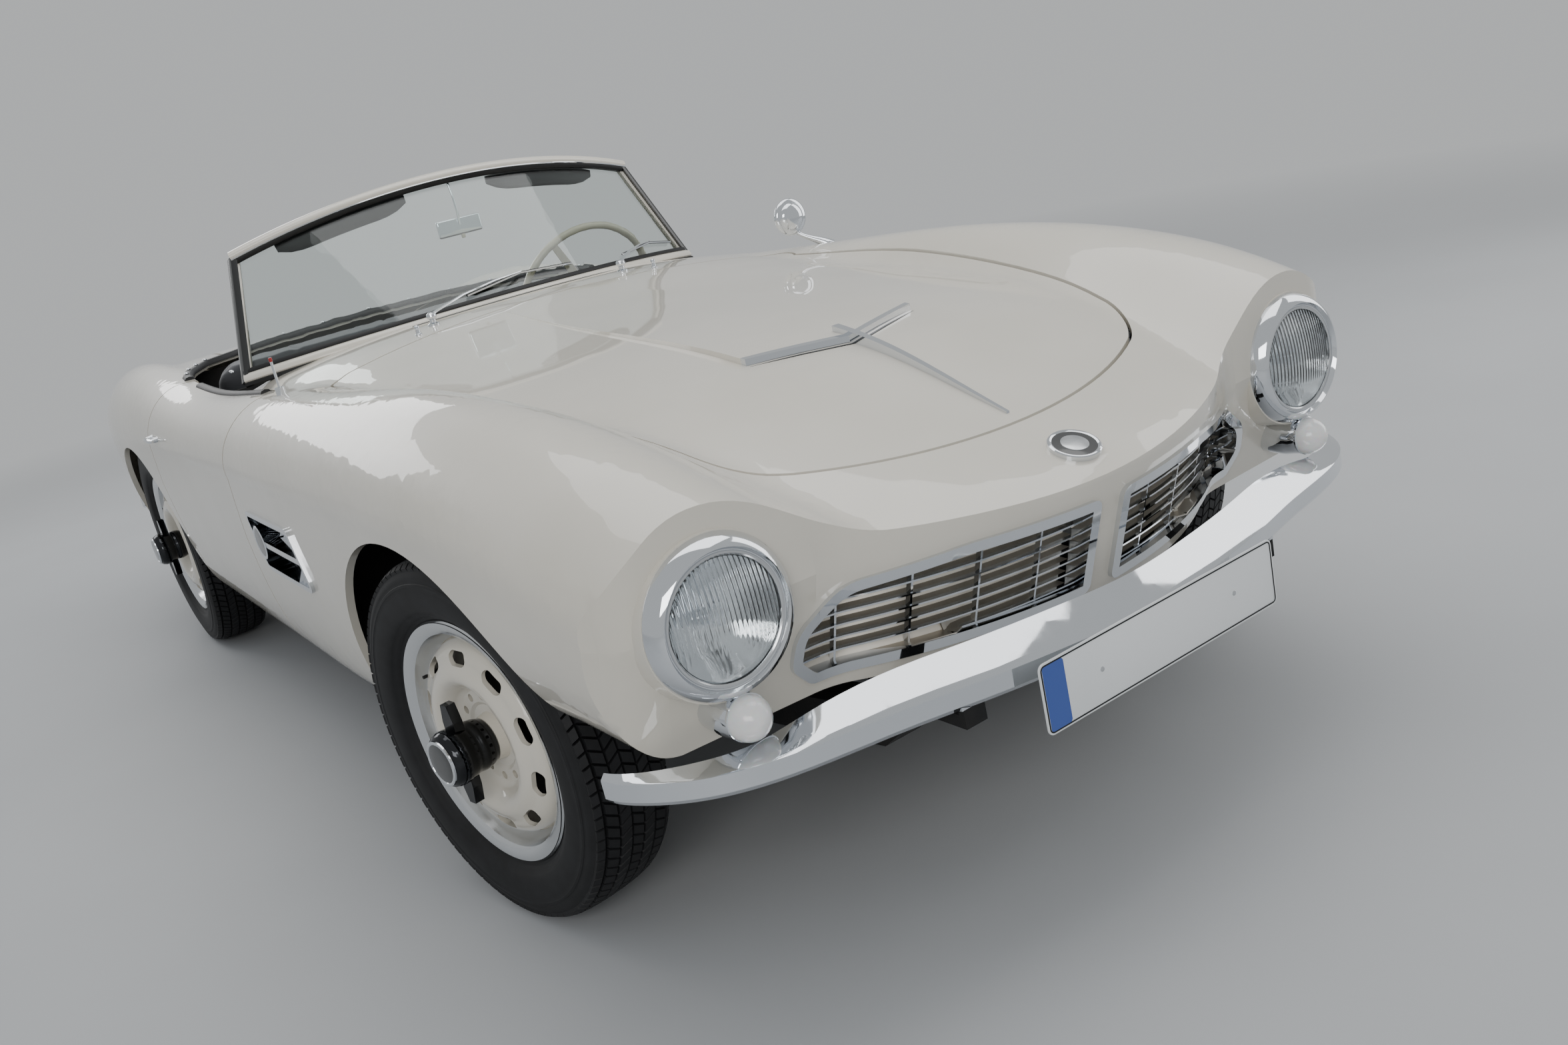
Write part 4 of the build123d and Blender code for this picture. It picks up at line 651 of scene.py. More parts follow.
def make_tyre(name):
    """A ribbed road tyre: a lathe-turned case with blocks raised from its tread and cut in a zigzag."""
    half = SIDEWALL + [(x, r) for x, r, lead in RIBS]
    profile = half + [(-x, r) for x, r in reversed(half)]
    bm = turned(profile, Matrix.Identity(4), steps=TREAD_PITCHES)
    leads = {round(m * x): lead * m for x, r, lead in RIBS for m in LEFT_AND_RIGHT}
    for vert in bm.verts:
        reach = math.hypot(vert.co.y, vert.co.z)
        lead = leads.get(round(vert.co.x / MM), 0)
        if reach > TREAD_CORNERS * MM and lead:
            turn = Matrix.Rotation(lead * math.tau / TREAD_PITCHES, 3, "X")
            vert.co = turn @ vert.co
    tread = [face for face in bm.faces
             if math.hypot(face.calc_center_median().y, face.calc_center_median().z) > TREAD_FACES * MM]
    bmesh.ops.recalc_face_normals(bm, faces=bm.faces)
    bmesh.ops.inset_individual(bm, faces=tread, thickness=GROOVE_HALF * MM, depth=TREAD_DEPTH * MM,
                               use_even_offset=True)
    bmesh.ops.transform(bm, matrix=wheel_frame(name), verts=bm.verts)
    finish_piece(bm, "ribbed_tyre_" + name, "tyre", "road_wheel_" + name, crease=38,
                 replaces=("tyre_" + name,))


def make_wheel_trim(name):
    """The bright rim band, the tyre's valve and the bare disc in the centre cap."""
    body = "road_wheel_" + name
    hub = wheel_frame(name)
    finish_piece(turned(RIM_BAND, hub, 96), "rim_band_" + name, "bright", body)
    cap_ring = [(139.0, 41.5), (141.8, 41.0), (143.0, 38.5), (142.4, 35.5), (140.6, 34.5), (138.5, 36.0)]
    finish_piece(turned(cap_ring, hub, 48), "cap_ring_" + name, "chrome", body)
    cap_disc = [(139, 0), (139, 35.5), (141.3, 35.5), (142.2, 30), (142.8, 18), (143, 0)]
    finish_piece(turned(cap_disc, hub, 48), "cap_disc_" + name, "black_steel", body)
    valve = hub @ Matrix.Translation(at(44, 0, 0)) @ Matrix.Rotation(math.radians(54), 4, "X")
    stem = [(-8, 0), (-8, 4), (2, 4), (3, 3), (16, 2.6), (17, 3.2), (24, 3.2), (25, 0)]
    finish_piece(turned(stem, valve @ Matrix.Translation(at(-6, 0, 170)), 16), "valve_" + name, "seal", body)


# ---------------------------------------------------------------- lamps
LAMP = {"x": 620, "y": -2016, "z": 630, "lens": 87, "bulge": 14, "bowl": 84, "bulb": 14, "depth": 50}
INDICATOR = {"x": 622, "y": -2011, "z": 486}
TAIL_LAMP = {"x": 560, "y": 2045, "z": 590, "across": 32, "up": 52}


def make_headlamps():
    """Domed fluted glass over a silvered bowl with its bulb shield, on each wing."""
    sphere = (LAMP["lens"] ** 2 + LAMP["bulge"] ** 2) / (2 * LAMP["bulge"])
    radii = [LAMP["lens"] * i / 12 for i in range(13)]
    front = [(LAMP["bulge"] - sphere + math.sqrt(sphere ** 2 - r ** 2), r) for r in radii]
    lens = front + [(a - 4, r) for a, r in reversed(front)]
    bowl_radii = [LAMP["bulb"] + (LAMP["bowl"] - LAMP["bulb"]) * i / 14 for i in range(15)]
    bowl = [(-3 - LAMP["depth"] * (1 - (r / LAMP["bowl"]) ** 2), r) for r in bowl_radii]
    bowl += [(a - 2, r) for a, r in reversed(bowl)]
    shield = [(-50, 0), (-50, 12), (-34, 12), (-33, 15), (-26, 15), (-22, 12), (-20, 0)]
    for side, m in SIDES:
        lamp = axis_frame(at(m * LAMP["x"], LAMP["y"], LAMP["z"]), FORWARD)
        node = ("headlamp_lenses",) if side == "left" else ()
        finish_piece(turned(lens, lamp, 72), "headlamp_glass_" + side, "lens", replaces=node)
        finish_piece(turned(bowl, lamp, 72), "headlamp_bowl_" + side, "silvering")
        finish_piece(turned(shield, lamp, 32), "bulb_shield_" + side, "chrome")
        lip = [(-1.5, 86.0), (1.5, 86.5), (3.2, 88.5), (3.0, 91.5), (0.5, 93.5), (-2.5, 92.0)]
        finish_piece(turned(lip, lamp, 96), "headlamp_inner_lip_" + side, "bright")


def make_indicator_rings():
    """The thin chrome ring between each front indicator's dome and its housing."""
    ring = [(-3, 33.0), (-1, 34.4), (1.5, 34.2), (2.5, 32.5), (0, 31.0)]
    for side, m in SIDES:
        place = axis_frame(at(m * INDICATOR["x"], INDICATOR["y"], INDICATOR["z"]), FORWARD)
        finish_piece(turned(ring, place, 48), "indicator_ring_" + side, "chrome")


def make_tail_lamps():
    """A chrome rim round each ruby tail lamp."""
    for side, m in SIDES:
        points = []
        for i in range(40):
            a = math.tau * i / 40
            x = m * TAIL_LAMP["x"] + TAIL_LAMP["across"] * math.cos(a)
            z = TAIL_LAMP["z"] + TAIL_LAMP["up"] * math.sin(a)
            hit = SKIN.ray_cast(at(x, 2600, z), Vector((0, -1, 0)))[0]
            points.append(hit + Vector((0, 0.002, 0)))
        finish_piece(swept(ring_profile(4, 10), path_frames(points, FORWARD, closed=True), closed=True),
                     "tail_lamp_rim_" + side, "chrome")


# ---------------------------------------------------------------- plates and badges
PLATE = {"length": 520, "height": 110, "corner": 11, "band": 42}


def make_plate(end, centre, outward, replaces=()):
    """A blank registration plate: white enamel, a dark edge line, a plain band and two rivets."""
    left = Vector((1, 0, 0)) if outward.y > 0 else Vector((-1, 0, 0))
    face = Matrix.Translation(centre) @ Matrix((-left, UP, outward)).transposed().to_4x4()
    length, height, corner = PLATE["length"], PLATE["height"], PLATE["corner"]
    plate = cut_plate(rounded_corners(length, height, corner), 2.6, face, 0.5)
    finish_piece(plate, "plate_" + end, "plate_white", replaces=replaces)
    edge = [face @ at(x, y, 2.7) for x, y in rounded_corners(length - 8, height - 8, corner - 4)]
    line = swept([(-1.1, -0.4), (1.1, -0.4), (1.1, 0.4), (-1.1, 0.4)],
                 path_frames(edge, face.to_3x3() @ UP, closed=True), closed=True)
    finish_piece(line, "plate_line_" + end, "seal")
    band_x = -length / 2 + 6 + PLATE["band"] / 2
    band = cut_plate(rounded_corners(PLATE["band"], height - 10, 5), 0.5,
                     face @ Matrix.Translation(at(band_x, 0, 2.5)), 0.1, 1)
    finish_piece(band, "plate_band_" + end, "plate_blue")
    rivet = [(2.4, 0), (2.4, 4), (3.2, 4), (4.0, 3), (4.3, 0)]
    stand = Matrix.Rotation(-math.pi / 2, 4, "Y")
    rivets = [turned(rivet, face @ Matrix.Translation(at(x, 0, 0)) @ stand, 16) for x in (-140, 160)]
    finish_piece(joined(*rivets), "plate_rivets_" + end, "bright")


def make_plates():
    """The front plate on its bumper, and the rear one on two brackets."""
    make_plate("front", at(0, -2187.4, 391), FORWARD, ("number_plates",))
    make_plate("rear", at(0, 2158.4, 510), -FORWARD)
    brackets = [block((26, 60, 52), (m * 200, 2132, 510), 2) for m in LEFT_AND_RIGHT]
    finish_piece(joined(*brackets), "plate_brackets", "black_steel")


def make_nose_badge():
    """A plain enamelled disc in a chrome rim, over the nose."""
    low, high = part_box("nose_badge")
    centre = (Vector(low) + Vector(high)) / 2
    place, normal = on_skin(centre.x / MM, centre.y / MM)
    seat = axis_frame(place, normal, FORWARD)
    rim = [(-2, 33), (-2, 41.2), (6.4, 41.2), (8.0, 39.5), (8.2, 37.5), (7.0, 35.6), (6.6, 33)]
    disc = [(-2, 0), (-2, 35.8), (6.8, 35.8), (7.2, 28), (7.9, 14), (8.1, 0)]
    finish_piece(turned(rim, seat, 64), "badge_rim", "chrome", replaces=("nose_badge",))
    finish_piece(turned(disc, seat, 64), "badge_disc", "black_steel")
    heart = [(6.0, 0), (6.6, 22), (8.3, 21.5), (9.0, 12), (9.2, 0)]
    finish_piece(turned(heart, seat, 64), "badge_heart", "bright")


# ---------------------------------------------------------------- grilles and scoop
SLAT_HEIGHTS = [444 + 21 * (i + 1) for i in range(7)]
# a blade's section: ahead of the slat's front edge, and up from its middle
LOUVRE = [(-4, 1.3), (-27, 2.2), (-31, 17.5), (-32.4, 17.5), (-28.4, 0), (-4, 0)]
GRILLE_PLACES = range(44, 500, 8)       # where the slats are felt for, out from the car's middle
FRAME_STEP = 9 * MM         # the grille's frame stands at least this far ahead of its slats


def make_grille_louvres():
    """A satin blade on each slat, turned up at its back so that it closes the bay below the next."""
    frame_mesh = bmesh.new()
    frame_mesh.from_mesh(NODES["grilles"].data)
    tree = BVHTree.FromBMesh(frame_mesh)
    frame_mesh.free()
    for side, m in SIDES:
        blades = []
        for z in SLAT_HEIGHTS:
            run = []
            for x in GRILLE_PLACES:
                hit = tree.ray_cast(at(m * x, -3000, z), -FORWARD)[0]
                if hit is not None:
                    run.append(hit)
            # the frame stands proud of the slats, so its own points are the ones that jump forward
            inside = [p for i, p in enumerate(run[1:-1], 1)
                      if abs(p.y - run[i - 1].y) < FRAME_STEP and abs(p.y - run[i + 1].y) < FRAME_STEP]
            if len(inside) > 4:
                blades.append(swept(LOUVRE, forward_frames(inside)))
        finish_piece(joined(*blades), "grille_louvres_" + side, "satin")


def make_bumper_brackets():
    """Plated caps over the feet that carry the front bumper, where they show above its blade."""
    blade_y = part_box("front_bumper")[0][1] / MM
    caps = [block((46, 17, 34), (m * 330, blade_y + 70, 417), 3, 2) for m in LEFT_AND_RIGHT]
    finish_piece(joined(*caps), "bumper_brackets", "chrome")


# the lip of the scoop in the hood: its left tip and its middle, as (x, y)
SCOOP_TIP, SCOOP_MIDDLE = (188, -1508), (0, -1572)


def make_scoop_slot():
    """A dark gauze strip under the lip of the hood's scoop, a painted shade standing for the inside of its slot.
    """
    shares = [i / 16 - 1 for i in range(33)]
    run = []
    for share in shares:
        x = SCOOP_TIP[0] * share
        y = SCOOP_MIDDLE[1] + (SCOOP_TIP[1] - SCOOP_MIDDLE[1]) * abs(share) - 9
        run.append(on_skin(x, y)[0])
    # painted shade: a dark strip laid on the skin where the slot's inside would show dark
    mouth = swept([(-3.5, -2), (-3.5, 0.6), (3.5, 0.6), (3.5, -2)], path_frames(run),
                  sizes=[max(0.2, 1 - share ** 4) for share in shares])
    finish_piece(mouth, "scoop_slot_shade", "gauze", "hood_lid")


# ---------------------------------------------------------------- side vents
VENT = {"front_y": -700, "rear_y": -290, "low_z": 505, "high_z": 645, "slant": 48, "back_x": 768}
VENT_DISC = {"y": -360, "z": 575}
FIN_PITCH, FIN_COUNT, FIN_LEAN = 30, 8, math.radians(38)
# each row of fins: the height of its foot, how far they rise, and how far the row starts back
FIN_ROWS = ((584, 44, 22), (566, -44, 0))


def make_side_vents():
    """A dark gauze backing that stands in as painted shade for the opening behind the fins, two rows of pointed
    chrome fins and a bare enamelled disc in each wing vent.
    """
    vents = bmesh.new()
    vents.from_mesh(NODES["side_vents"].data)
    tree = BVHTree.FromBMesh(vents)
    vents.free()
    front, rear, low, high, slant = (VENT[k] for k in ("front_y", "rear_y", "low_z", "high_z", "slant"))
    for side, m in SIDES:
        upright = Matrix.Translation(at(m * VENT["back_x"], 0, 0)) @ Matrix(
            ((0, 1, 0), (0, 0, 1), (1, 0, 0))).transposed().to_4x4()
        outline = [(front + 16, low + 14), (rear - slant - 14, low + 14), (rear - 16, high - 14),
                   (front + slant + 14, high - 14)]
        # painted shade: a dark plate set behind the fins where the vent's opening would show dark
        backing = cut_plate(outline, m * 1.2, upright)
        finish_piece(backing, "vent_shade_backing_" + side, "gauze")
        fins = []
        for z, rise, lead in FIN_ROWS:
            for i in range(FIN_COUNT):
                y = front + 44 + lead + FIN_PITCH * i
                foot = at(m * (VENT["back_x"] + 1), y, z)
                seat = axis_frame(foot, (m * math.cos(FIN_LEAN), math.sin(FIN_LEAN), 0))
                stand = seat @ Matrix.Rotation(math.pi / 2, 4, "X")
                fins.append(cut_plate([(0, 0), (30, 0), (8, rise), (0, rise)], 1.4, stand, 0.3, 1))
        finish_piece(joined(*fins), "vent_fins_" + side, "chrome")
        start = at(m * 1200, VENT_DISC["y"], VENT_DISC["z"])
        hit = tree.ray_cast(start, Vector((-m, 0, 0)))[0]
        seat = axis_frame(hit, Vector((m, 0, 0)))
        rim = [(-2, 30), (-2, 40), (1.0, 40), (2.4, 38.5), (2.6, 36), (1.4, 33.5), (0.6, 30)]
        disc = [(-2, 0), (-2, 34), (1.2, 34), (1.8, 20), (2.2, 0)]
        finish_piece(turned(rim, seat, 48), "vent_disc_rim_" + side, "chrome")
        finish_piece(turned(disc, seat, 48), "vent_disc_" + side, "black_steel")


# ---------------------------------------------------------------- windscreen, wipers and cowl
# each arc of the screen: its centre point and corner as (y, z), and half its width
SCREEN_BASE = ((-170, 925), (52, 888), 652)
SCREEN_HEAD = ((60, 1246), (161, 1166), 570)


def screen_arc(arc, shares):
    """Points on an arc of the screen, at shares of its half width."""
    (centre_y, centre_z), (corner_y, corner_z), half_width = arc
    depth = math.hypot(corner_y - centre_y, corner_z - centre_z)
    radius = (half_width ** 2 + depth ** 2) / (2 * depth)
    points = []
    for share in shares:
        a = share * math.asin(half_width / radius)
        back = (radius - radius * math.cos(a)) / depth
        points.append(at(radius * math.sin(a), centre_y + (corner_y - centre_y) * back,
                         centre_z + (corner_z - centre_z) * back))
    return points


def on_screen(share, rise):
    """A point of the glass's outer face: across as a share of half, and up from foot to head."""
    foot, = screen_arc(SCREEN_BASE, [share])
    head, = screen_arc(SCREEN_HEAD, [share])
    return foot.lerp(head, rise)


def make_screen_frame():
    """Painted header and foot rail, rubber seals, outer pillars made black as a painted dark reflection of their
    chrome, and painted inner ones.
    """
    shares = [i / 24 - 1 for i in range(49)]
    head = path_frames(screen_arc(SCREEN_HEAD, shares))
    foot = path_frames(screen_arc(SCREEN_BASE, shares))
    header = [(-20, 4), (15, 4), (18, 9), (18, 14), (15, 19), (9, 22.5), (0, 24.5), (-10, 24), (-17, 20),
              (-20, 13)]
    finish_piece(swept(header, head), "screen_header", "paint", replaces=("windscreen_frame",))
    head_seal = [(5, -11), (13, -10), (16, -6), (17, 0), (16.5, 5), (-14, 5), (-14, -6), (-10, -11)]
    finish_piece(swept(head_seal, head), "screen_header_seal", "seal")
    bead = [(15.6, 2.6), (18.4, 2.6), (19.4, 4), (18.6, 5.6), (15.6, 5.6)]
    finish_piece(swept(bead, head), "screen_header_bead", "chrome")
    foot_rail = [(-12, -8), (18, -9), (21, -4), (20, 2), (15, 9), (8, 13), (-12, 13)]
    finish_piece(swept(foot_rail, foot), "screen_foot_rail", "paint")
    glass_seal = [(-12, 12), (8, 12), (9.5, 15), (7, 20), (2, 23), (-8, 22), (-12, 18)]
    finish_piece(swept(glass_seal, foot), "screen_foot_seal", "seal")
    gasket = [(-8, -20), (22, -20), (25, -16), (24, -9), (18, -7), (-8, -7)]
    finish_piece(swept(gasket, foot), "screen_cowl_gasket", "seal")
    outer = [(-4, -17), (8, -16), (12, -9), (12.5, 4), (9, 14), (2, 19), (-5, 20), (-6, 0)]
    inner = [(-5, -14), (-12, -13), (-17, -8), (-18, 0), (-14, 8), (-6, 11)]
    for side, m in SIDES:
        ends = screen_arc(SCREEN_BASE, [m])[0], screen_arc(SCREEN_HEAD, [m])[0]
        up = (ends[1] - ends[0]).normalized()
        run = path_frames([ends[0] - up * 0.012, ends[0].lerp(ends[1], 0.5), ends[1] + up * 0.004], FORWARD)
        # painted reflection: the outer pillars are chrome, made black enamel to stand for the dark that they
        # reflect
        finish_piece(swept([(m * x, z) for x, z in outer], run), "chrome_pillar_dark_reflection_" + side, "black_steel")
        finish_piece(swept([(m * x, z) for x, z in inner], run), "inner_pillar_" + side, "paint")


def make_sun_visors():
    """Two padded visors, folded up close behind the header."""
    for side, m in SIDES:
        shares = [m * (0.2 + 0.6 * i / 12) for i in range(13)]
        run = [p + at(0, 30, -16) for p in screen_arc(SCREEN_HEAD, shares)]
        pad = [(5, -38), (9, -32), (9, 0), (4, 7), (-3, 7), (-6, 0), (-5, -32), (0, -40)]
        sizes = [0.45, 0.8, 0.95] + [1.0] * 7 + [0.95, 0.8, 0.45]
        visor = finish_piece(swept(pad, path_frames(run), sizes=sizes), "sun_visor_" + side, "black_trim",
                             crease=60)


# each wiper: its pivot on the cowl as (x, y), then places on the glass as on_screen takes them
WIPERS = {
    "right": {"pivot": (-267, -272), "reach": (0.063, 0.165),
              "blade": [(-0.17, 0.105), (0.06, 0.165), (0.29, 0.14)]},
    "left": {"pivot": (267, -272), "reach": (0.76, 0.175),
             "blade": [(0.56, 0.115), (0.76, 0.175), (0.93, 0.155)]},
}


def make_wipers():
    """Chrome wipers at rest on the glass: a ball pivot, a tapered arm, a bowed blade and its rubber."""
    for side, wiper in WIPERS.items():
        foot = on_skin(*wiper["pivot"])[0]
        top = foot + UP * 0.026
        ball = [(-4, 0), (-4, 15), (3, 15), (5, 11), (7, 8), (14, 8), (16, 11), (21, 13), (27, 11.5), (31, 6),
                (32, 0)]
        base = turned(ball, axis_frame(foot, UP, FORWARD), 24)
        reach = on_screen(*wiper["reach"]) + (FORWARD * 0.016 + UP * 0.004)
        arm_points = [top, top.lerp(reach, 0.35) + UP * 0.01, top.lerp(reach, 0.7) + UP * 0.008, reach]
        arm = swept([(5, -1.5), (5, 1.5), (-5, 1.5), (-5, -1.5)], path_frames(arm_points),
                    sizes=[1.1, 0.85, 0.7, 0.55])
        blade_points = [on_screen(*p) + FORWARD * 0.011 for p in wiper["blade"]]
        run = [blade_points[0].lerp(blade_points[1], t / 6) for t in range(6)]
        run += [blade_points[1].lerp(blade_points[2], t / 6) for t in range(7)]
        blade = swept([(2, -2), (2, 3), (-2, 3), (-2, -2)], path_frames(run, FORWARD))
        node = ("wipers",) if side == "left" else ()
        finish_piece(joined(base, arm, blade), "wiper_" + side, "chrome", replaces=node)
        rubber_run = [p - FORWARD * 0.005 for p in run]
        rubber = swept([(1, -2.5), (3.4, 3), (-3.4, 3), (-1, -2.5)], path_frames(rubber_run, FORWARD))
        finish_piece(rubber, "wiper_rubber_" + side, "seal")
    nozzle = [(-3, 0), (-3, 9), (2, 9), (4, 6), (14, 5), (16, 6.5), (21, 6), (23, 3), (23, 0)]
    jets = [turned(nozzle, axis_frame(on_skin(m * 330, -330)[0], UP, FORWARD), 20) for m in LEFT_AND_RIGHT]
    finish_piece(joined(*jets), "washer_jets", "chrome")


def make_cowl_intake():
    """The gauze strip that lets air in at the foot of the screen, in a thin painted frame."""
    shares = [i / 12 * 0.42 - 0.42 for i in range(25)]
    run = []
    for point in screen_arc(SCREEN_BASE, shares):
        run.append(on_skin(point.x / MM, point.y / MM - 62)[0])
    finish_piece(swept([(-15, -2), (15, -2), (15, 0.8), (-15, 0.8)], path_frames(run)), "cowl_gauze", "gauze")
    for name, across in (("front", 16), ("rear", -16)):
        lip = [(across - 2.5, -2), (across + 2.5, -2), (across + 2, 1.5), (across - 2, 1.5)]
        finish_piece(swept(lip, path_frames(run)), "cowl_lip_" + name, "paint")


# ---------------------------------------------------------------- mirrors, handles and aerial
def bezier(corners, t):
    """A point on the smooth curve that four corner points pull."""
    a, b, c, d = corners
    s = 1 - t
    return a * s ** 3 + b * 3 * s * s * t + c * 3 * s * t * t + d * t ** 3


def make_mirrors():
    """A round mirror on a curved stalk on the left wing, and the framed one inside."""
    head = at(640, -540, 966)
    seat = axis_frame(head, FORWARD)
    dome = [(-8, 0), (-8, 44), (-6.5, 47), (-2, 48), (2, 46.5), (5, 42.5), (6.5, 35), (10, 33), (14, 27),
            (17, 16), (18, 0)]
    glass = [(-9.2, 0), (-9.2, 42), (-7.6, 43.5), (-7, 0)]
    foot = on_skin(716, -585)[0]
    corners = (head + at(2, 6, -20), head + at(14, 8, -62), foot + at(-34, 10, 30), foot - at(0, 0, 3))
    stalk = [bezier(corners, i / 12) for i in range(13)]
    arm = swept(ring_profile(6, 16), path_frames(stalk, Vector((1, 0.2, 0.4))),
                sizes=[0.9 + 1.9 * (i / 12) ** 3 for i in range(13)])
    finish_piece(joined(turned(dome, seat, 64), arm), "wing_mirror", "chrome", replaces=("mirrors",))
    finish_piece(turned(glass, seat, 48), "wing_mirror_glass", "silvering")
    shell = block((126, 12, 46), (4, 80, 1120), 5.5, 4)
    finish_piece(shell, "inner_mirror_shell", "chrome", crease=60)
    pane = block((112, 2, 34), (4, 86, 1120), 0.9, 2)
    finish_piece(pane, "inner_mirror_pane", "silvering")
    knob = block((10, 10, 12), (8, 80, 1093), 2.5, 2)
    finish_piece(knob, "inner_mirror_knob", "cream_plastic")
    stem = [at(4, 74, 1124), at(3, 66, 1160), at(2, 66, 1200), at(0, 72, 1241)]
    finish_piece(swept(ring_profile(3.4, 12), path_frames(stem, FORWARD)), "inner_mirror_stem", "chrome")


HANDLE_X = 838              # the middle of each door handle's bar, out from the car's middle
BOOT_HANDLE_Y = 1862


def make_door_handles():
    """A slim bar on two feet, on the shoulder of each door and across the boot lid."""
    for side, m in SIDES:
        low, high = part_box("door_handle_" + side)
        y0, y1, z = low[1] / MM + 6, high[1] / MM - 6, (low[2] + high[2]) / 2 / MM
        x = m * HANDLE_X
        run = [at(x - m * 3, y0, z), at(x, y0 + 16, z), at(x + m, (y0 + y1) / 2, z), at(x, y1 - 16, z),
               at(x - m * 3, y1, z)]
        bar = swept(ring_profile(7, 16), path_frames(run), sizes=[0.45, 0.85, 1.0, 0.85, 0.45])
        feet = []
        for y in (y0 + 18, y1 - 18):
            hit = SKIN.ray_cast(at(m * 1200, y, z), Vector((-m, 0, 0)))[0]
            ends = [hit - Vector((m * 0.004, 0, 0)), at(x, y, z)]
            feet.append(swept(ring_profile(5.5, 12), path_frames(ends), sizes=[1.5, 0.9]))
        finish_piece(joined(bar, *feet), "handle_" + side, "chrome", side + "_door",
                     replaces=("door_handle_" + side,))
    # the handle of the boot lies across the lid, just ahead of its rear edge
    hit, normal = on_skin(0, BOOT_HANDLE_Y)
    run = [hit + at(x, 0, 0) + normal * 0.016 for x in (-60, -40, 0, 40, 60)]
    bar = swept(ring_profile(7, 16), path_frames(run), sizes=[0.4, 0.9, 1.0, 0.9, 0.4])
    feet = []
    for x in (-38, 38):
        ends = [hit + at(x, 0, 0) + normal * rise for rise in (-0.004, 0.016)]
        feet.append(swept(ring_profile(6, 12), path_frames(ends, FORWARD)))
    finish_piece(joined(bar, *feet), "boot_handle", "chrome", "boot")


def make_aerial_tip():
    """The red button on top of the short aerial."""
    low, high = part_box("antenna")
    x, y = (low[0] + high[0]) / 2, (low[1] + high[1]) / 2
    tip = [(-10, 0), (-10, 3.6), (-4, 4.4), (-1, 4.0), (-0.2, 2.4), (0, 0)]
    seat = axis_frame(Vector((x, y, high[2])), UP, FORWARD)
    finish_piece(turned(tip, seat, 20), "aerial_tip", "red_plastic")


# ---------------------------------------------------------------- cockpit
STEERING_CENTRE = at(355, 149, 850)
COLUMN_AXIS = Vector((0, math.cos(math.radians(25)), math.sin(math.radians(25))))
STEERING_RADIUS, RIM_RADIUS = 205, 10.2


def make_steering_wheel():
    """An ivory wheel with a ribbed grip, three flat spokes and a chrome horn push."""
    hub = axis_frame(STEERING_CENTRE, COLUMN_AXIS)
    body = "wheel_of_steering"
    count = 144
    circle = [hub @ at(0, y, z) for y, z in ring_profile(STEERING_RADIUS, count)]
    swell = [1.07 if i % 4 == 0 else 1.0 for i in range(count)]
    rim = swept(ring_profile(RIM_RADIUS, 16), path_frames(circle, COLUMN_AXIS, closed=True), closed=True,
                sizes=swell)
    spokes = []
    for angle in (90, 210, 330):
        turn = hub @ Matrix.Rotation(math.radians(angle), 4, "X")
        spoke = swept([(12, -4), (13, 0), (12, 4), (-12, 4), (-13, 0), (-12, -4)],
                      path_frames([turn @ at(-14, 0, 30), turn @ at(-13, 0, 110), turn @ at(-4, 0, 200)],
                                  turn.to_3x3() @ Vector((1, 0, 0))), sizes=[1.3, 1.0, 0.75])
        spokes.append(spoke)
    boss = [(-24, 0), (-24, 38), (-16, 44), (-4, 44), (2, 38), (5, 24), (5, 0)]
    finish_piece(joined(rim, *spokes, turned(boss, hub, 48)), "steering_wheel_rim", "cream_plastic", body,
                 replaces=("steering_wheel",))
    horn = [(4, 0), (4, 25), (6, 26), (8, 22), (9, 0)]
    finish_piece(turned(horn, hub, 40), "horn_push", "chrome", body)


DASH_FACE_Y = 40
DIALS = (("speed", 355, 60), ("fuel", 250, 32), ("oil", 460, 32))       # each one's x and radius
KNOBS = ((-60, 770), (0, 770), (60, 770), (120, 770), (-60, 720), (120, 720))


def make_dashboard():
    """Dials in chrome rims, knobs, a radio panel, a glovebox lid and a padded roll along the top."""
    face_y = DASH_FACE_Y
    for name, x, r in DIALS:
        seat = axis_frame(at(x, face_y - 13, 800), -FORWARD)
        dial = [(0, 0), (0, r), (1, r), (1, 0)]
        finish_piece(turned(dial, seat, 48), name + "_dial", "seal")
        ring = [(10, r - 1), (10, r + 5), (14, r + 5), (16, r + 2), (15, r - 2), (11, r - 3)]
        finish_piece(turned(ring, seat, 64), name + "_ring", "chrome")
        ticks = []
        for i in range(11):
            sweep = Matrix.Rotation(math.radians(-120 + 24 * i), 4, "X")
            turn = seat @ sweep @ Matrix.Translation(at(1.2, 0, r * 0.8))
            tick = block((0.6, 1.4 if i % 5 else 2.4, r * 0.14), (0, 0, 0))
            bmesh.ops.transform(tick, matrix=turn, verts=tick.verts)
            ticks.append(tick)
        needle = block((0.8, 2.0, r * 0.66), (0, 0, 0))
        turn = seat @ Matrix.Rotation(math.radians(-112), 4, "X") @ Matrix.Translation(at(2.4, 0, r * 0.26))
        bmesh.ops.transform(needle, matrix=turn, verts=needle.verts)
        finish_piece(joined(*ticks, needle), name + "_marks", "plate_white")
    knob = [(0, 0), (0, 6), (10, 6), (12, 11), (20, 12), (23, 9), (24, 0)]
    knobs = [turned(knob, axis_frame(at(x, face_y, z), -FORWARD), 20) for x, z in KNOBS]
    finish_piece(joined(*knobs), "dash_knobs", "cream_plastic")
    finish_piece(block((150, 8, 44), (0, face_y + 3, 830), 3, 3), "radio_panel", "chrome")
    lid = block((300, 6, 110), (-390, face_y + 2, 775), 2.5, 3)
    finish_piece(lid, "glovebox_lid", "paint")
    crest = ((-600, 842), (-420, 862), (-200, 886), (0, 890), (200, 886), (420, 862), (600, 842))
    run = [at(x, face_y + 4, z) for x, z in crest]
    finish_piece(swept(ring_profile(15, 20), path_frames(run)), "dash_roll", "black_trim", crease=60)


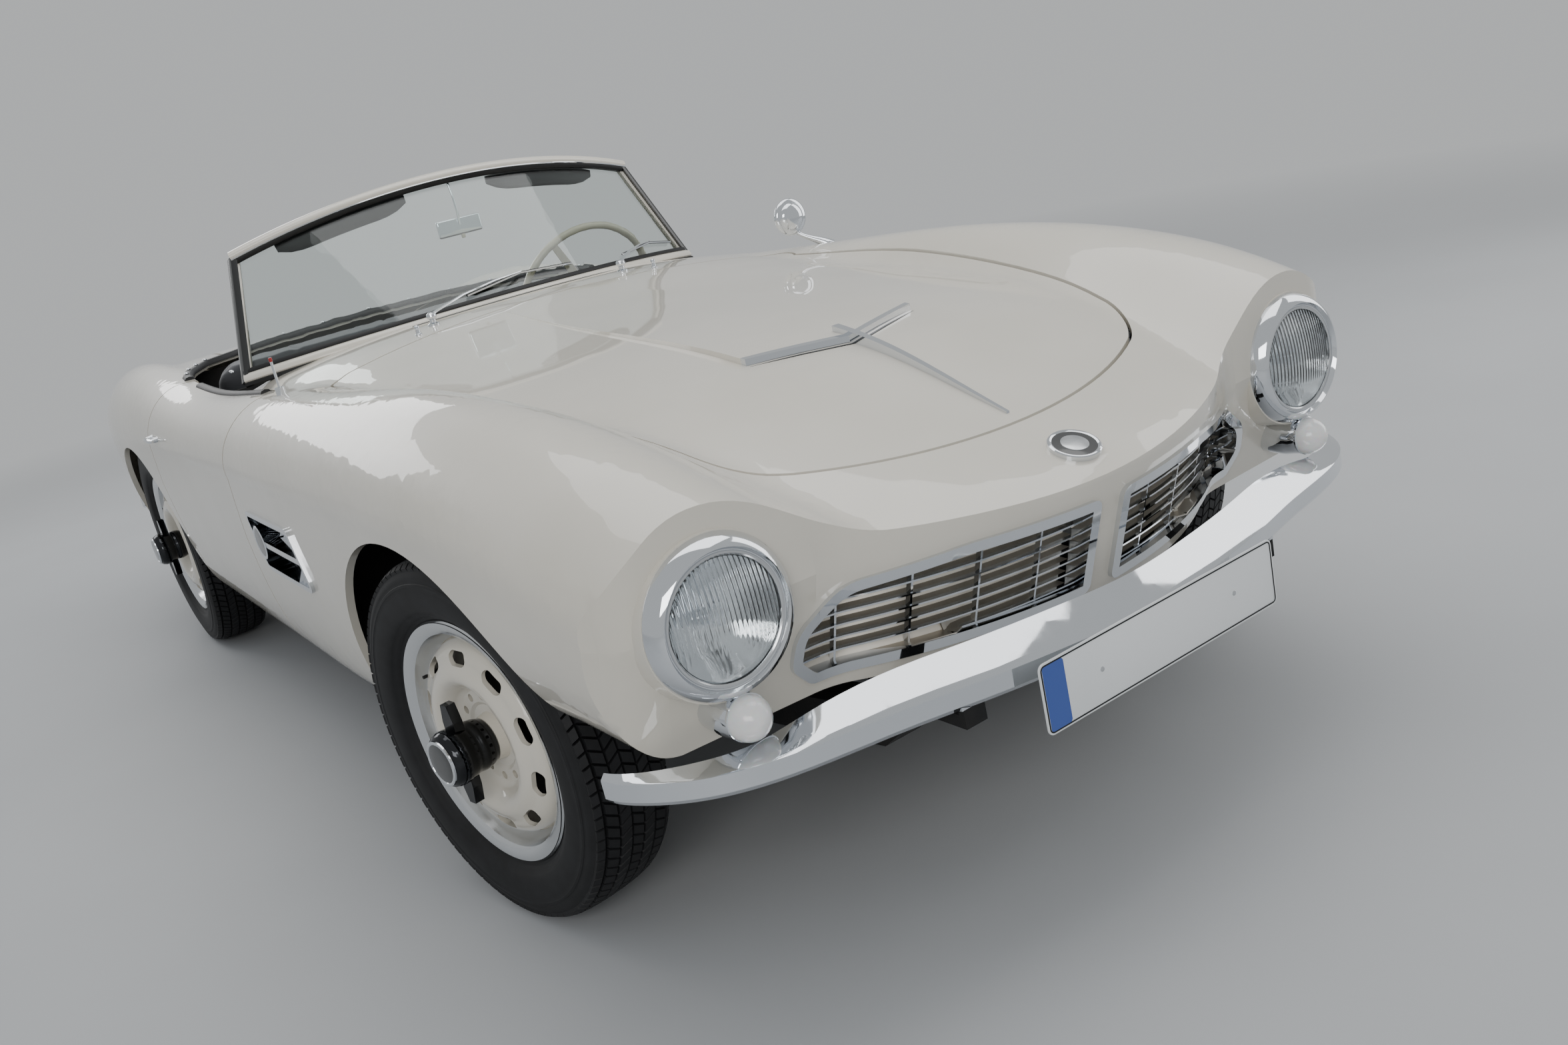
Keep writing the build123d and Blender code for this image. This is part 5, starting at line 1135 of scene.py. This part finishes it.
def make_floor_trim():
    """Carpet over the floor and tunnel, pedals, the gear lever and the handbrake."""
    mats = [block((440, 640, 8), (m * 366, 190, 240), 3, 2) for m in LEFT_AND_RIGHT]
    finish_piece(joined(*mats), "floor_carpet", "carpet")
    arch = [(-131, 0), (-131, 185), (-118, 198), (118, 198), (131, 185), (131, 0), (127, 0), (127, 184),
            (117, 194), (-117, 194), (-127, 184), (-127, 0)]
    run = path_frames([at(0, -480, 238), at(0, 100, 238), at(0, 660, 238)])
    finish_piece(swept(arch, run), "tunnel_carpet", "carpet")
    stick = [at(0, 180, 428), at(0, 196, 500), at(0, 226, 570)]
    lever = swept(ring_profile(6, 12), path_frames(stick, FORWARD), sizes=[1.2, 1.0, 0.8])
    finish_piece(lever, "gear_lever", "chrome")
    ball = [(-18, 0), (-17, 8), (-10, 16), (0, 19), (10, 16), (17, 8), (19, 0)]
    finish_piece(turned(ball, axis_frame(at(0, 232, 586), UP, FORWARD), 32), "gear_knob", "cream_plastic")
    gaiter = [(0, 0), (0, 58), (6, 60), (14, 46), (22, 44), (30, 32), (38, 29), (50, 12), (54, 0)]
    finish_piece(turned(gaiter, axis_frame(at(0, 180, 434), UP, FORWARD), 40), "gear_gaiter", "black_trim")
    brake = swept(ring_profile(8, 12), path_frames([at(60, 470, 440), at(60, 380, 470), at(60, 300, 500)]),
                  sizes=[0.8, 0.8, 1.3])
    finish_piece(brake, "handbrake", "chrome")
    pedals = []
    for x, wide in ((250, 52), (340, 52), (430, 40)):
        pad = block((wide, 8, 66), (x, -430, 340), 3, 2, Matrix.Rotation(math.radians(-25), 4, "X"))
        arm = swept(ring_profile(6, 10), path_frames([at(x, -438, 350), at(x, -490, 460)], FORWARD))
        pedals += [pad, arm]
    finish_piece(joined(*pedals), "pedals", "seal")


# the window crank of the left door: its hub, and the knob at the end of its arm
CRANK_HUB, CRANK_KNOB = (655, 20, 620), (640, 92, 606)
DOOR_TOP = (-168, 556)          # the front and rear ends of the roll along a door's top


def make_door_trim():
    """A hide-covered card, an armrest and a padded top roll inside each door."""
    for side, m in SIDES:
        body = side + "_door"
        card = block((5, 690, 470), (m * 657.5, 215, 560), 2, 2)
        finish_piece(card, "door_card_" + side, "black_trim", body)
        rest = block((46, 300, 34), (m * 634, 250, 640), 12, 4)
        arm = finish_piece(rest, "door_armrest_" + side, "black_trim", body, crease=60)
        (hub_x, *hub_place), (knob_x, *knob_place) = CRANK_HUB, CRANK_KNOB
        inward = (-m, 0, 0)
        ends = [at(m * (hub_x - 12), *hub_place), at(m * knob_x, *knob_place)]
        crank = swept(ring_profile(4, 10), path_frames(ends))
        hub = turned([(0, 0), (0, 12), (8, 10), (10, 0)], axis_frame(at(m * hub_x, *hub_place), inward), 24)
        knob = turned([(0, 0), (0, 8), (24, 9), (27, 0)], axis_frame(ends[1], inward), 20)
        finish_piece(joined(hub, crank, knob), "window_crank_" + side, "chrome", body)
        front, rear = DOOR_TOP
        run = []
        for i in range(17):
            y = front + i * (rear - front) / 16
            run.append(on_skin(m * 678, y)[0] + at(-m * 8, 0, -1))
        roll = [(-14, -8), (-14, 2), (-9, 8), (0, 10), (9, 7), (13, 0), (12, -6)]
        finish_piece(swept([(m * x, z) for x, z in roll], path_frames(run, UP)), "door_top_roll_" + side,
                     "black_trim", body, crease=60)


def cockpit_rim():
    """Points round the back of the cockpit opening, from the right door's tail to the left one's."""
    plan = [(-655, 700), (-648, 760), (-625, 840), (-585, 925), (-543, 985), (-420, 1010), (-280, 1027),
            (-140, 1037), (0, 1040)]
    plan += [(-x, y) for x, y in reversed(plan[:-1])]
    points = []
    for x, y in plan:
        outward = math.copysign(9, x) if x else 0
        points.append(on_skin(x + outward, y + (9 if abs(x) < 560 else 3))[0])
    return points


def make_rear_surround():
    """The padded roll round the back of the cockpit, with its chrome studs."""
    run = cockpit_rim()
    roll = [(-15, -7), (-15, 1), (-9, 8), (0, 10), (9, 8), (15, 1), (15, -7)]
    finish_piece(swept(roll, path_frames(run)), "rear_surround", "black_trim", crease=60)
    stud = [(0, 0), (0, 6), (2, 6.4), (4, 5), (5.4, 2.5), (5.8, 0)]
    studs = [turned(stud, axis_frame(p + UP * 0.0095, UP, FORWARD), 16) for p in run[1:-1]]
    finish_piece(joined(*studs), "surround_studs", "chrome")


# ---------------------------------------------------------------- padded pieces
CLOTH_STEPS = 20


def stuffed(bm, name, finish, voxel_mm, pressure, cap_mm, body="car", replaces=()):
    """A stitched cover filled until it swells: remeshed, blown up as cloth, and held within a cap."""
    bmesh.ops.remove_doubles(bm, verts=bm.verts, dist=0.01 * MM)
    bmesh.ops.recalc_face_normals(bm, faces=bm.faces)
    mesh = bpy.data.meshes.new(name)
    bm.to_mesh(mesh)
    bm.free()
    pad = bpy.data.objects.new(name, mesh)
    bpy.context.scene.collection.objects.link(pad)
    remesh = pad.modifiers.new("remesh", "REMESH")
    remesh.mode = "VOXEL"
    remesh.voxel_size = voxel_mm * MM
    keep_as_mesh(pad)
    rest = [vert.co.copy() for vert in pad.data.vertices]
    cloth = pad.modifiers.new("cloth", "CLOTH")
    cloth.settings.quality = 5
    cloth.settings.use_pressure = True
    cloth.settings.uniform_pressure_force = pressure
    cloth.settings.effector_weights.gravity = 0
    cloth.point_cache.frame_start = 1
    cloth.point_cache.frame_end = CLOTH_STEPS
    for step in range(1, CLOTH_STEPS + 1):
        bpy.context.scene.frame_set(step)
    keep_as_mesh(pad)
    bpy.context.scene.frame_set(1)
    for vert, start in zip(pad.data.vertices, rest):
        move = vert.co - start
        if move.length > cap_mm * MM:
            vert.co = start + move.normalized() * cap_mm * MM
    pad.data.shade_smooth()
    material, slot = FINISHES[finish]
    pad.data.materials.clear()
    pad.data.materials.append(material)
    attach(pad, body)
    if replaces:
        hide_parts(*replaces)
    return pad


def keep_as_mesh(piece):
    """Applies a piece's modifiers, by keeping the mesh that they give."""
    graph = bpy.context.evaluated_depsgraph_get()
    made = bpy.data.meshes.new_from_object(piece.evaluated_get(graph))
    piece.modifiers.clear()
    piece.data = made


def round_off(piece):
    """One level of smoothing over a stuffed piece."""
    smooth = piece.modifiers.new("round", "SUBSURF")
    smooth.levels = smooth.render_levels = 1


def sew(piece, seams, axis, depth_mm, width_mm):
    """Draws the cover in along sewn lines, each at one place across an axis."""
    piece.data.update()
    normals = [vert.normal.copy() for vert in piece.data.vertices]
    for vert, normal in zip(piece.data.vertices, normals):
        near = min(abs(vert.co[axis] - seam * MM) for seam in seams) / (width_mm * MM)
        vert.co -= normal * depth_mm * MM * math.exp(-near * near) * (1 - abs(normal[axis]))


SEAT = {"x": 355, "width": 450}
SEAT_LEAN = Matrix.Rotation(math.radians(-9), 4, "X")
SEAT_SEAMS = (-150, -90, -30, 30, 90, 150)      # across the seat, from its middle


def make_seats():
    """Two low bucket seats in pleated black hide, each with a stuffed cushion and backrest."""
    width = SEAT["width"]
    for side, m in SIDES:
        x = m * SEAT["x"]
        base = block((width - 20, 420, 108), (x, 345, 291), 14, 3)
        node = ("seats",) if side == "left" else ()
        finish_piece(base, "seat_base_" + side, "black_trim", replaces=node, crease=60)
        cushion = block((width - 24, 440, 78), (x, 342, 374), 22, 4)
        bmesh.ops.subdivide_edges(cushion, edges=cushion.edges, cuts=1)
        pad = stuffed(cushion, "seat_cushion_" + side, "black_trim", 7.5, 3.0, 9)
        seams = [x + offset for offset in SEAT_SEAMS]
        sew(pad, seams, 0, 6.5, 7)
        round_off(pad)
        back = block((width - 24, 78, 370), (x, 596, 608), 24, 4, SEAT_LEAN)
        pad = stuffed(back, "seat_back_" + side, "black_trim", 7.5, 3.0, 8)
        sew(pad, seams, 0, 6.0, 7)
        round_off(pad)
        shell = block((width - 6, 26, 372), (x, 648, 606), 10, 3, SEAT_LEAN)
        finish_piece(shell, "seat_shell_" + side, "black_trim", crease=60)


def make_tonneau():
    """The stuffed cover buttoned down over the stowed top, behind the seats."""
    outline = [(-596, 716), (596, 716), (560, 880), (528, 950), (300, 978), (0, 986), (-300, 978),
               (-528, 950), (-560, 880)]
    cover = cut_plate(outline, 150, Matrix.Translation(at(0, 0, 700)), 30, 4)
    pad = stuffed(cover, "tonneau_pad", "canvas", 9, 3.5, 14, replaces=("tonneau_cover",))
    sew(pad, [-330, 0, 330], 0, 5, 8)
    round_off(pad)
    stud = [(0, 0), (0, 6.5), (2, 7), (4, 5), (5.4, 2.5), (5.8, 0)]
    studs = []
    tree = BVHTree.FromPolygons([v.co for v in pad.data.vertices], [p.vertices for p in pad.data.polygons])
    for x in range(-540, 541, 120):
        place, normal = tree.ray_cast(at(x, 742, 1400), -UP)[:2]
        studs.append(turned(stud, axis_frame(place - normal * 0.001, normal, FORWARD), 16))
    finish_piece(joined(*studs), "tonneau_studs", "chrome")


# ---------------------------------------------------------------- making it all
make_camera()
for softbox in SOFTBOXES:
    area_light(*softbox)
make_world()
make_floor()
dress_nodes()
for wheel in WHEELS:
    make_tyre(wheel)
    make_wheel_trim(wheel)
make_headlamps()
make_indicator_rings()
make_tail_lamps()
make_plates()
make_nose_badge()
make_grille_louvres()
make_bumper_brackets()
make_scoop_slot()
make_side_vents()
make_screen_frame()
make_sun_visors()
make_wipers()
make_cowl_intake()
make_mirrors()
make_door_handles()
make_aerial_tip()
make_steering_wheel()
make_dashboard()
make_floor_trim()
make_door_trim()
make_rear_surround()
make_seats()
make_tonneau()
